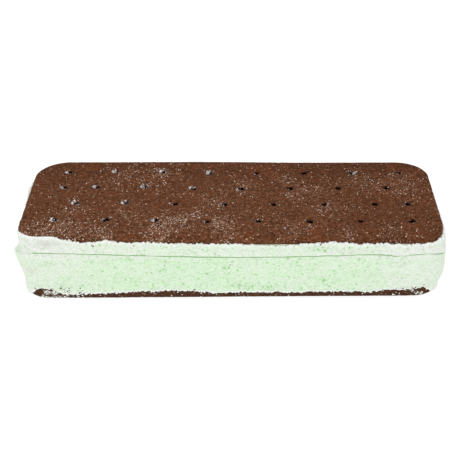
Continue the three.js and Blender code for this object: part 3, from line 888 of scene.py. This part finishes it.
def make_wafer(name, wafer, inset, seed, material, turned_over):
    """One wafer, docked face up or turned over, in its place in the sandwich."""
    slab = new_object("slab", wafer_slab(wafer, inset, seed, turned_over))
    centres = docker_centres(wafer)
    flat = np.concatenate([centres.reshape(-1, 2), np.zeros((centres.size // 2, 1))], 1)
    pins = new_object("docker pins", new_mesh("docker pins", flat, []))
    plan, geometry = docking_plan(wafer, pins)
    plan.end(weather(plan, geometry, wafer, seed * 10), material)
    mesh = plan.apply_to(slab, name)
    for old in (slab, pins):
        bpy.data.objects.remove(old)
    points = points_of(mesh)
    face = smoothstep(-3.0, -2.4, points[:, 2])
    closed = 1 - smoothstep(0.05, 0.3, marks_of(mesh, "hollow"))
    frost = frost_on(points, turned_over, seed) * face * closed
    store(mesh, frost=frost, rime=rime_on(points, centres))
    fill_with_rime(mesh, points)
    nowhere = np.zeros(len(points))
    # Painted shade: this mark darkens the whole bottom wafer.
    store(mesh, stain=nowhere + turned_over, smear=smear_on(points) if turned_over else nowhere)
    if turned_over:
        place = Matrix.Translation((0, BOTTOM_WAFER_SLIDE * MM, BOTTOM_WAFER_LIFT * MM))
        for angle, axis in ((BOTTOM_WAFER_TURN, "Z"), (math.pi, "X")):
            place = place @ Matrix.Rotation(angle, 4, axis)
    else:
        place = Matrix.Translation((0, 0, TOP_OF_SANDWICH * MM))
    mesh.transform(place)
    if turned_over:
        keep_above_floor(mesh)
    mesh.shade_smooth()
    return new_object(name, mesh)


# ---------------------------------------------------------------- the ice cream


def blended(normals, values):
    """A size that differs from side to side, at points that face these ways."""
    left, right = np.maximum(0, -normals[:, 0]) ** 2, np.maximum(0, normals[:, 0]) ** 2
    front, back = np.maximum(0, -normals[:, 1]) ** 2, np.maximum(0, normals[:, 1]) ** 2
    return left * values[0] + right * values[1] + front * values[2] + back * values[3]


def torn(place, seed):
    """An uneven torn edge, from about -1 to 1: blunt teeth of a few sizes with sharp nicks."""
    teeth = 1 - 2 * np.abs(clouds(place, 1.2, seed + 1)) ** 0.7
    return 0.45 * clouds(place, 2.6, seed) + 0.5 * teeth + 0.75 * clouds(place, 0.5, seed + 2)


def crease_healed(x, y):
    """How far the crease has closed up: wholly beside the front left corner, and in patches."""
    corner = smoothstep(-55.6, -57.0, x) * (1 - smoothstep(-60.6, -61.2, x))
    corner *= smoothstep(-12, -17, y)
    place = np.stack([x, y, 0 * x], 1)
    patches = 0.75 * smoothstep(0.12, 0.5, clouds(place, 5.0, 17))
    patches += 0.3 * smoothstep(0, 0.5, clouds(place, 1.6, 19))
    return np.clip(corner + patches, 0, 1)


def block_levels(ice_cream, points, normals):
    """The rings of the block from its bottom pocket to its top one, as (reach, height, follow,
    curved, band): how far out past the wafers, how high, how much of the bottom wafer's slide
    and turn it takes, whether the side curves there, and what the band above it is."""
    x, y = points[:, 0], points[:, 1]
    share = np.arange(len(x)) / len(x)
    place = np.stack([x, y, 0 * x], 1)
    front = np.maximum(0, -normals[:, 1]) ** 2
    sag = CREASE_SAG * bell(x, 0, CREASE_SAG_REACH)
    dip = CREASE_DIP * bell(x, CREASE_DIP_X, CREASE_DIP_REACH)
    fall = CREASE_FALL * x / CREASE_FALL_REACH
    crease = blended(normals, CREASE_HEIGHT) - front * (sag + dip + fall)
    crease += bumps_at(x, y, CREASE_STEPS)
    crease += CREASE_WAVES * unevenness(share, 0.31) + CREASE_JITTER * clouds(place, 2.2, 4)
    ragged = ice_cream.ragged / MM
    lip = blended(normals, LIP_HEIGHT) + bumps_at(x, y, LIP_RISES) + ragged * torn(place, 1)
    lip = np.minimum(TOP_OF_SANDWICH - LIP_CLEARANCE, lip)
    low_lip = blended(normals, LOW_LIP_HEIGHT) + bumps_at(x, y, LOW_LIP_GAPS)
    low_lip += LOW_LIP_WAVES * unevenness(share, 0.77) + LOW_LIP_RAGGED * ragged * torn(place, 6)
    low_lip = np.maximum(low_lip, LOWEST_LIP)
    flare = bumps_at(x, y, LIP_FLARES)
    burr = bumps_at(x, y, BURR) * (1 + 0.5 * clouds(place, 1.3, 9) + 0.3 * clouds(place, 0.6, 11))
    half = ice_cream.crease_opening / MM / 2
    upper = lip - crease
    healed = crease_healed(x, y)

    def out(values, wave=0.0, seed=0.0):
        return blended(normals, values) + wave * unevenness(share, seed)

    def level(reach, height, follow=0.0, curved=True, band="skin"):
        return reach, height + 0 * x, follow, curved, band

    inner = -POCKET_INSET + 0 * x
    lower_edge = out(OUT_CREASE_LOWER_EDGE, 0.1, 0.67) + burr
    upper_edge = out(OUT_CREASE_UPPER_EDGE, 0.1, 0.83) + 0.2 * burr
    bridge = (lower_edge + upper_edge) / 2
    floor = bridge + CREASE_DEPTH * (1 - healed) * (out(OUT_CREASE_FLOOR) - bridge)
    return [
        level(inner - BOTTOM_WAFER_INSET, WAFER_THICKNESS, 1, False, "hidden"),
        level(inner - BOTTOM_WAFER_INSET, low_lip + 0.1, 1),
        level(0.35 * out(OUT_LOW_LIP), low_lip - 0.03, 1, band="rim"),
        level(0.8 * out(OUT_LOW_LIP), low_lip + 0.05, 1, band="rim"),
        level(out(OUT_LOW_LIP), low_lip + 0.3, 0.9, band="falling"),
        level(out(OUT_FOOT, 0.08, 0.11), low_lip + 0.4 * (LOW_HEIGHT - low_lip), 0.7),
        level(out(OUT_LOW, 0.1, 0.23), LOW_HEIGHT),
        level(out(OUT_LOWER_MIDDLE, 0.12, 0.37) + 0.2 * burr, LOWER_MIDDLE_HEIGHT),
        level(out(OUT_MIDDLE, 0.12, 0.53) + 0.55 * burr, MIDDLE_HEIGHT),
        level(out(OUT_UNDER_CREASE, 0.1, 0.67) + 0.9 * burr, crease - UNDER_CREASE_DROP),
        level(lower_edge, crease - half, curved=False, band="crease"),
        level(floor, crease - 0.5 * half, curved=False, band="crease"),
        level(upper_edge, crease + half),
        level(out(OUT_SHOULDER, 0.08, 0.83), crease + 0.4 * upper),
        level(out(OUT_UNDER_LIP, 0.06, 0.97) + 0.7 * flare, crease + 0.72 * upper, band="rising"),
        level(out(OUT_LIP) + flare, lip - 0.3, band="rim"),
        level(0.75 * out(OUT_LIP) + flare, lip - 0.05, band="rim"),
        level(0.3 * out(OUT_LIP) + flare, lip + 0.02),
        level(inner, lip - 0.1, curved=False, band="hidden"),
        level(inner, TOP_OF_SANDWICH - WAFER_THICKNESS, curved=False, band="hidden"),
    ]


def curve_between(levels, k, step):
    """Rings on a smooth curve from level k up to, and without, level k + 1."""
    values = [np.stack([out, height, follow + 0 * out]) for out, height, follow, *_ in levels]
    gaps = [max(0.05, float(np.mean(np.hypot(*(b - a)[:2])))) for a, b in zip(values, values[1:])]

    def slope(i):
        if not levels[i][3] or i in (0, len(levels) - 1):
            return (values[k + 1] - values[k]) / gaps[k]
        before = (values[i] - values[i - 1]) / gaps[i - 1]
        after = (values[i + 1] - values[i]) / gaps[i]
        return (before * gaps[i] + after * gaps[i - 1]) / (gaps[i] + gaps[i - 1])

    start, end = slope(k) * gaps[k], slope(k + 1) * gaps[k]
    steps = {"hidden": 1, "crease": 3}.get(levels[k][-1], max(1, round(gaps[k] / step)))
    for t in np.arange(steps) / steps:
        yield t, (
            (2 * t**3 - 3 * t**2 + 1) * values[k]
            + (t**3 - 2 * t**2 + t) * start
            + (3 * t**2 - 2 * t**3) * values[k + 1]
            + (t**3 - t**2) * end
        )


def ice_cream_block(settings):
    """The block as one closed mesh, with the marks "skin", "crease", "rim" and "pitting"."""
    ice_cream, wafer = settings.ice_cream, settings.wafer
    step = ice_cream.point_step / MM
    count = int((2 * (wafer.span + wafer.width) - 1.72 * wafer.bottom_corner) / MM / step)
    low, high = wafer_outline(wafer, True, count), wafer_outline(wafer, False, count)

    def outline(share):
        """Points and normals part of the way from the bottom wafer's outline to the top one's."""
        points, normals = ((1 - share) * a + share * b for a, b in zip(low, high))
        return points, normals / np.linalg.norm(normals, axis=1)[:, None]

    levels = [block_levels(ice_cream, *outline(share))[k] for k, share in enumerate(OUTLINE_SHARES)]
    rings, marks, shares = [], [], []
    for k, (*_, band) in enumerate(levels[:-1]):
        opens = levels[k - 1][-1] != "crease"
        for t, ring in curve_between(levels, k, step):
            rings.append(ring)
            shares.append((1 - t) * OUTLINE_SHARES[k] + t * OUTLINE_SHARES[k + 1])
            in_crease = 0 if band != "crease" else t if opens else 1 - t
            rim = {"rim": 1, "falling": (1 - t) ** 2, "rising": t**2}.get(band, 0)
            marks.append((float(band not in ("hidden", "crease")), in_crease, rim))
    out, height, follow, *_ = levels[-1]
    rings.append(np.stack([out, height, follow + 0 * out]))
    marks.append((0.0, 0.0, 0.0))
    shares.append(OUTLINE_SHARES[-1])
    all_points = []
    for share, (out, height, follow) in zip(shares, rings):
        points, normals = outline(share)
        y = points[:, 1] + normals[:, 1] * out
        x = tapered(points[:, 0] + normals[:, 0] * out, y, FRONT_TAPER)
        turn = follow * BOTTOM_WAFER_TURN
        x, y = x * np.cos(turn) - y * np.sin(turn), x * np.sin(turn) + y * np.cos(turn)
        all_points.append(np.stack([x, y + follow * BOTTOM_WAFER_SLIDE, height], 1))
    number = np.arange(len(rings) * count).reshape(len(rings), count)
    turned = np.roll(number, -1, axis=1)
    squares = [number[:-1], turned[:-1], turned[1:], number[1:]]
    faces = np.stack(squares, -1).reshape(-1, 4).tolist()
    bottom, top = number.size, number.size + 1
    for height in (WAFER_THICKNESS, TOP_OF_SANDWICH - WAFER_THICKNESS):
        all_points.append(np.array([[LENGTH_SHIFT, 0, height]]))
    faces += [(bottom, int(b), int(a)) for a, b in zip(number[0], turned[0])]
    faces += [(top, int(a), int(b)) for a, b in zip(number[-1], turned[-1])]
    all_points = np.concatenate(all_points)
    mesh = new_mesh("block", all_points, faces)
    per_point = np.concatenate([np.repeat(np.array(marks), count, axis=0), np.zeros((2, 3))])
    skin, in_crease, rim = per_point.T
    # The mark "crease" says where the crease's painted shade goes: less where it healed, and at the far
    # left.
    open_share = 1 - 0.9 * crease_healed(*all_points[:, :2].T)
    crease = in_crease * open_share * (1 - 0.7 * smoothstep(-58, -60, all_points[:, 0]))
    crowded = 0.22 * smoothstep(-0.1, 0.5, clouds(all_points, 7, 14))
    crowded += spots_on_front(all_points, PIT_CLUSTERS)
    store(mesh, skin=skin, crease=crease, rim=rim, pitting=(0.1 + crowded) * skin)
    return mesh


def crumbs_on(points):
    """Where wafer crumbs lie on the ice cream, from 0 to 1."""
    x, y, z = points.T
    patchy = smoothstep(-0.25, 0.4, clouds(points, 1.0, 3))
    foot = bumps_at(x, y, CRUMB_PATCHES) * patchy * (1 - smoothstep(2.4, 4.8, z))
    lips = 0.03 * (1 - smoothstep(1.0, 3.5, z)) + 0.012 * smoothstep(16.8, 18.2, z)
    outside = smoothstep(*BLOCK_SIDE_Y, np.abs(y)) + smoothstep(*BLOCK_SIDE_X, np.abs(x))
    return np.clip((foot + lips + STRAY_CRUMBS) * np.clip(outside, 0, 1), 0, 1)


# ---------------------------------------------------------------- scattered bits


def scatter_plan(name, mark, per_area, sizes, flatness, seed, material, crystals=False):
    """The tree that scatters small irregular bits over a surface, as thick as a mark says:
    rounded ones, or crystals with eight faces."""
    plan = Shaping(
        name,
        {
            "Bits per Area": per_area,
            "Smallest": sizes[0],
            "Largest": sizes[1],
            "Flatness": flatness,
            "Seed": seed,
        },
    )
    density = plan.mark(mark) * plan.given("Bits per Area")
    spots = plan.spread(plan.geometry, density, plan.given("Seed"))
    if crystals:
        ball = plan.node("GeometryNodeMeshUVSphere", {}, {"Segments": 4, "Rings": 2, "Radius": 1.0})
    else:
        ball = plan.node("GeometryNodeMeshIcoSphere", {}, {"Radius": 1.0, "Subdivisions": 1})
    chip = plan.along(plan.position(), plan.noise(0.9, 0.0, 4.0) * 0.5)
    chipped = plan.move(ball.outputs["Mesh"], chip)

    def scatter(kind, low, high, salt):
        """A random number or vector for each bit."""
        sockets = {"Seed": plan.given("Seed") + salt}
        made = plan.node("FunctionNodeRandomValue", {"data_type": kind}, sockets)
        for socket in made.inputs:
            if socket.enabled and socket.name in ("Min", "Max"):
                socket.default_value = low if socket.name == "Min" else high
        return next(o for o in made.outputs if o.enabled)

    pick = Amount(plan, scatter("FLOAT", 0.0, 1.0, 11))
    smallest = plan.given("Smallest")
    size = smallest + (plan.given("Largest") - smallest) * pick**2.5
    flat = plan.node("ShaderNodeCombineXYZ", {}, {0: 1.0, 1: 1.0, 2: plan.given("Flatness")})
    stretch = scatter("FLOAT_VECTOR", (0.75, 0.75, 0.75), (1.25, 1.25, 1.25), 23)
    shape = plan.vector("MULTIPLY", {0: stretch, 1: flat.outputs[0]})
    lean = scatter("FLOAT_VECTOR", (-0.5, -0.5, 0.0), (0.5, 0.5, 6.28), 37)
    sockets = {0: spots["Rotation"], 1: lean}
    turn = plan.node("FunctionNodeRotateRotation", {"rotation_space": "LOCAL"}, sockets)
    bits = plan.node(
        "GeometryNodeInstanceOnPoints",
        {},
        {
            "Points": spots["Points"],
            "Instance": chipped,
            "Rotation": turn.outputs[0],
            "Scale": plan.along(shape, size * 0.5),
        },
    )
    plan.end(bits.outputs[0], material)
    return plan


def scatter_bits(name, surface, plan):
    """Scatters bits over a finished piece and hands them to the frame as a piece of their own."""
    carrier = new_object("carrier", surface.data)
    mesh = plan.apply_to(carrier, name)
    bpy.data.objects.remove(carrier)
    keep_above_floor(mesh)
    finish_piece(new_object(name, mesh), None)


# ---------------------------------------------------------------- finishes


def wafer_finish(colours):
    """Baked chocolate wafer: mottled brown with a fine pale grain, painted shade towards its back
    and right, in its docker holes and pores and over the whole bottom wafer, and a thin bloom of
    frost."""
    finish = Finish("baked wafer", colours.wafer)
    broad = finish.noise(0.014, 3.0, 0.55)
    patchy = finish.noise(0.0030, 3.0, 0.6, shift=2.0)
    grain = finish.noise(0.0011, 3.0, 0.7, shift=5.0)
    specks = finish.noise(0.0005, 2.0, 0.7, shift=9.0)
    grit = (grain * 0.4 + specks * 0.5 + patchy * 0.1).ramp(0.36, 0.61)
    shaded = finish.axis("Y").ramp(0.004, 0.019) * 0.38 + finish.axis("X").ramp(0.010, 0.050) * 0.2
    ruddy = (broad * 0.3 + patchy * 0.4 + grain * 0.3).ramp(0.47, 0.6) * 0.6
    pale = (grain * 0.35 + specks * 0.65).ramp(0.54, 0.66) * (0.8 - shaded)
    bloom = (finish.mark("frost") * 0.9 * (specks * 0.7 + grain * 0.3).ramp(0.5, 0.6)).least(0.8)
    mottle = grain * 0.4 + specks * 0.6
    brown = finish.coats(
        colours.wafer_dark,
        (grit * (1 - shaded), colours.wafer),
        (ruddy, colours.wafer_ruddy),
        (pale, colours.wafer_light),
        (bloom, colours.bloom),
        # Painted shade over the whole bottom wafer.
        (finish.mark("stain") * 0.65, colours.shaded_wafer_and_crumb_brown),
        # Painted shade in the pinholes.
        (finish.mark("pore") * 0.8, colours.wafer_dark),
        (finish.mark("smear").ramp(0.1, 0.8) * mottle.ramp(0.42, 0.58), colours.ice_cream_grey),
        # Painted shade inside the docker holes.
        (finish.mark("hollow").ramp(0.02, 0.3), colours.hole),
        (finish.mark("rime").ramp(0.15, 0.6) * mottle.ramp(0.36, 0.58), colours.rime),
    )
    return finish.surface(
        {
            "Base Color": brown,
            "Roughness": (0.95 - bloom * 0.25).most(0.5),
            "Specular IOR Level": 0.03,
            "Normal": finish.bump(grain * 0.6 + specks * 0.4, 0.0003, 0.8),
        }
    )


def ice_cream_finish(colours):
    """Mint ice cream: pale green with whiter and greener clouds, an upper band that is painted
    paler, partly as light, and green painted shade in its pores, clustered pits and crease.
    """
    finish = Finish("mint ice cream", colours.ice_cream)
    broad = finish.noise(0.011, 3.0, 0.55, drag=1.6)
    patchy = finish.noise(0.0026, 3.0, 0.6, shift=3.0, drag=1.6)
    grain = finish.noise(0.0008, 3.0, 0.7, shift=6.0, drag=1.3)
    flecks = finish.noise(0.00045, 2.0, 0.6, shift=12.0)
    dots = finish.noise(0.0013, 1.0, 0.5, shift=15.0)
    pits = finish.noise(0.0006, 1.0, 0.5, shift=21.0, drag=1.5)
    # Partly painted light: above the crease the band is paler, for frost and for light on its slope.
    upper = finish.axis("Z").ramp(0.0128, 0.0150)
    ends = finish.axis("X").size().ramp(0.030, 0.055)
    cloudy = (broad * 0.5 + patchy * 0.5).ramp(0.38, 0.75)
    pale = (cloudy * 0.45 + upper * 0.45 + ends * 0.5).least(1.0)
    fleck = flecks.ramp(0.58, 0.7) * (0.3 + patchy.ramp(0.42, 0.6) * 0.7) * 0.25
    fleck = fleck.most(dots.ramp(0.65, 0.71) * (0.8 - ends * 0.55))
    # Partly painted shade: dotted darker green where pits cluster and flakes tear.
    green_spots_and_pit_shade = (finish.mark("green") * (0.08 + pits.ramp(0.53, 0.6) * 1.6)).least(1.0) * 0.85
    grey = (finish.mark("grey") * (0.3 + patchy.ramp(0.35, 0.6) * 0.5)).least(0.7)
    # Painted shade in the crease.
    crease_shade = finish.mark("crease").ramp(0.0, 0.5) * (0.6 + patchy.ramp(0.4, 0.6) * 0.4)
    green = finish.coats(
        colours.ice_cream,
        (pale, colours.ice_cream_pale),
        ((1 - grain.ramp(0.3, 0.5)) * 0.3, colours.ice_cream_green),
        (grain.ramp(0.5, 0.7) * 0.6, colours.ice_cream_pale),
        (flecks.ramp(0.36, 0.64), colours.ice_cream_shade, "MULTIPLY"),
        # Green flecks of the ice cream, and painted shade in its pores and where pits cluster.
        (fleck.most(finish.mark("pore") * 0.6).most(green_spots_and_pit_shade), colours.ice_cream_green),
        (grey, colours.ice_cream_grey),
        (crease_shade, colours.painted_crease_shade),
        (finish.mark("rim") * 0.8, colours.ice_cream_white),
    )
    return finish.surface(
        {
            "Base Color": green,
            "Roughness": (0.55 + grain * 0.25).least(0.85),
            "Specular IOR Level": 0.3,
            "Subsurface Weight": 0.2,
            "Subsurface Scale": 0.0015,
            "Subsurface Radius": (0.8, 1.0, 0.7),
            "Normal": finish.bump(grain * 0.7 + patchy * 0.3, 0.0003, 0.6),
        }
    )


def bit_finish(name, tint, deep, size, roughness, strength):
    """The finish of small loose bits: from one colour to another between neighbours."""
    finish = Finish(name, tint)
    cloud = finish.noise(size, 2.0, 0.6)
    return finish.surface(
        {
            "Base Color": finish.coats(deep, (cloud.ramp(0.36, 0.66), tint)),
            "Roughness": roughness,
            "Normal": finish.bump(cloud, 0.0001, strength),
        }
    )


# ---------------------------------------------------------------- operators


class MakeWafers(bpy.types.Operator):
    """Make the two docked wafers, the bottom one turned over"""

    bl_idname = "sandwich.make_wafers"
    bl_label = "Make Wafers"

    def execute(self, context):
        settings = context.scene.sandwich
        material = wafer_finish(settings.colours)
        for name, node, inset, seed, turned in (
            ("top_wafer", "wafer_top", 0.0, 0.17, False),
            ("bottom_wafer", "wafer_bottom", BOTTOM_WAFER_INSET, 0.43, True),
        ):
            piece = make_wafer(name, settings.wafer, inset, seed, material, turned)
            finish_piece(piece, node)
        return {"FINISHED"}


class MakeIceCream(bpy.types.Operator):
    """Make the block of ice cream with its crease and ragged lips"""

    bl_idname = "sandwich.make_ice_cream"
    bl_label = "Make Ice Cream"

    def execute(self, context):
        settings = context.scene.sandwich
        bare = new_object("bare block", ice_cream_block(settings))
        plan = Shaping("frozen surface", {})
        geometry = weather(plan, plan.geometry, settings.ice_cream, 31, drag=1.7)
        plan.end(geometry, ice_cream_finish(settings.colours))
        mesh = plan.apply_to(bare, "ice_cream_block")
        bpy.data.objects.remove(bare)
        points = points_of(mesh)
        green, grey = (spots_on_front(points, spots) for spots in (GREEN_SPOTS_AND_PIT_SHADE, GREY_SMUDGES))
        store(mesh, crumbs=crumbs_on(points), green=green, grey=grey)
        mesh.shade_smooth()
        finish_piece(new_object("ice_cream_block", mesh), "ice_cream")
        return {"FINISHED"}


class ScatterFrost(bpy.types.Operator):
    """Scatter frost over the docked faces and rime round their holes"""

    bl_idname = "sandwich.scatter_frost"
    bl_label = "Scatter Frost"

    def execute(self, context):
        settings = context.scene.sandwich
        bits, colours = settings.bits, settings.colours
        frost = bit_finish("frost", colours.frost, colours.frost_warm, 0.0012, 0.45, 0.4)
        rime = bit_finish("rime", colours.rime, colours.rime_deep, 0.0005, 0.4, 0.4)
        for place, seed, share in (("top", bits.seed, 1), ("bottom", bits.seed + 50, bits.under)):
            for mark, per_area, sizes, flatness, salt, material in (
                ("frost", bits.frost * share, (bits.smallest, bits.largest), 0.5, 0, frost),
                ("rime", bits.rime, RIME_SIZES, 0.6, 1, rime),
            ):
                name, salted = f"{place}_{mark}", seed + salt
                plan = scatter_plan(name, mark, per_area, sizes, flatness, salted, material, True)
                scatter_bits(name, bpy.data.objects[f"{place}_wafer"], plan)
        return {"FINISHED"}


class ScatterCrumbs(bpy.types.Operator):
    """Scatter wafer crumbs and grains over the ice cream, and ice cream on the bottom wafer"""

    bl_idname = "sandwich.scatter_crumbs"
    bl_label = "Scatter Crumbs"

    def execute(self, context):
        settings = context.scene.sandwich
        bits, colours = settings.bits, settings.colours
        white, pale = colours.ice_cream_white, colours.ice_cream_pale
        crumb = bit_finish("loose crumb", colours.crumb, colours.shaded_wafer_and_crumb_brown, 0.0008, 0.85, 0.5)
        grain = bit_finish("ice cream grain", white, pale, 0.0008, 0.5, 0.3)
        block, wafer = bpy.data.objects["ice_cream_block"], bpy.data.objects["bottom_wafer"]
        for name, on, slot, mark, per_area, sizes, flatness, salt, material in (
            ("wafer_crumbs", block, "wafer", "crumbs", bits.crumbs, CRUMB_SIZES, 0.6, 2, crumb),
            ("lip_grains", block, "ice_cream", "rim", bits.lip_grains, GRAIN_SIZES, 0.8, 3, grain),
            ("ice_cream_smears", wafer, "ice_cream", "smear", bits.smears, FLECK_SIZES, 0.35, 4, grain),
        ):
            plan = scatter_plan(name, mark, per_area, sizes, flatness, bits.seed + salt, material)
            scatter_bits(name, on, plan)
        return {"FINISHED"}


class SetStage(bpy.types.Operator):
    """Set the pale floor, the soft light and the camera"""

    bl_idname = "sandwich.set_stage"
    bl_label = "Set Stage"

    def execute(self, context):
        scene = context.scene
        colours = scene.sandwich.colours
        corners = [(FLOOR_REACH * x, FLOOR_REACH * y, 0) for x, y in SQUARE]
        floor = bpy.data.meshes.new("floor")
        floor.from_pydata(corners, [], [range(len(SQUARE))])
        finish = Finish("floor", colours.floor)
        cloud = finish.noise(0.3, 2.0)
        shade = tuple(FLOOR_MOTTLE * c for c in colours.floor)
        floor.materials.append(
            finish.surface(
                {
                    "Base Color": finish.coats(colours.floor, (cloud * 0.1, shade)),
                    "Roughness": 0.9,
                    "Emission Color": WHITE,
                    "Emission Strength": FLOOR_GLOW,
                }
            )
        )
        new_object("floor", floor)

        world = bpy.data.worlds.new("studio")
        world.use_nodes = True
        sky = world.node_tree.nodes["Background"].inputs
        sky["Color"].default_value, sky["Strength"].default_value = WHITE, SKY_STRENGTH
        scene.world = world
        for name, (place, size, power) in LIGHTS.items():
            lamp = bpy.data.lights.new(name, "AREA")
            lamp.shape, lamp.size, lamp.energy = "SQUARE", size, power
            light = new_object(name, lamp)
            light.location = place
            light.rotation_euler = (-Vector(place)).to_track_quat("-Z", "Y").to_euler()

        scene.view_settings.view_transform = "Standard"
        scene.view_settings.look = "None"
        set_camera(scene)
        return {"FINISHED"}


def set_camera(scene):
    """The camera: 30.5 degrees above the front, square on but for a degree of turn and roll."""
    back = Vector((0, -math.cos(CAMERA_HEIGHT), math.sin(CAMERA_HEIGHT)))
    back.rotate(Matrix.Rotation(-CAMERA_TURN, 3, "Z"))
    data = bpy.data.cameras.new("camera")
    data.sensor_width = 36
    data.lens = FOCAL_LENGTH / PICTURE * data.sensor_width
    data.shift_x, data.shift_y = -OFFSET_X / PICTURE, OFFSET_Y / PICTURE
    data.clip_start, data.clip_end = 0.01, 20
    camera = new_object("camera", data)
    turn = (-back).to_track_quat("-Z", "Y").to_matrix() @ Matrix.Rotation(CAMERA_ROLL, 3, "Z")
    place = Vector(CAMERA_TARGET) * MM + back * (CAMERA_DISTANCE * MM)
    camera.matrix_world = Matrix.Translation(place) @ turn.to_4x4()
    scene.camera = camera


class SandwichPanel(bpy.types.Panel):
    """Lists the steps that make the sandwich, and the sizes and colours they use"""

    bl_idname = "SANDWICH_PT_panel"
    bl_label = "Ice Cream Sandwich"
    bl_space_type = "VIEW_3D"
    bl_region_type = "UI"
    bl_category = "Sandwich"

    def draw(self, context):
        column = self.layout.column(align=True)
        for step in STEPS:
            column.operator(step.bl_idname)
        settings = context.scene.sandwich
        for title, group in (
            ("Wafers", settings.wafer),
            ("Ice Cream", settings.ice_cream),
            ("Loose Bits", settings.bits),
            ("Colours", settings.colours),
        ):
            box = self.layout.box()
            box.label(text=title)
            for name in group.__annotations__:
                box.prop(group, name)


GROUPS = (WaferSizes, IceCreamSizes, BitAmounts, SandwichColours, SandwichSettings)
STEPS = (MakeWafers, MakeIceCream, ScatterFrost, ScatterCrumbs, SetStage)


def register():
    for kind in (*GROUPS, *STEPS, SandwichPanel):
        bpy.utils.register_class(kind)
    bpy.types.Scene.sandwich = PointerProperty(type=SandwichSettings)


def unregister():
    del bpy.types.Scene.sandwich
    for kind in reversed((*GROUPS, *STEPS, SandwichPanel)):
        bpy.utils.unregister_class(kind)


def main():
    register()
    bpy.ops.sandwich.make_wafers()
    bpy.ops.sandwich.make_ice_cream()
    bpy.ops.sandwich.scatter_frost()
    bpy.ops.sandwich.scatter_crumbs()
    bpy.ops.sandwich.set_stage()


if __name__ == "__main__":
    main()
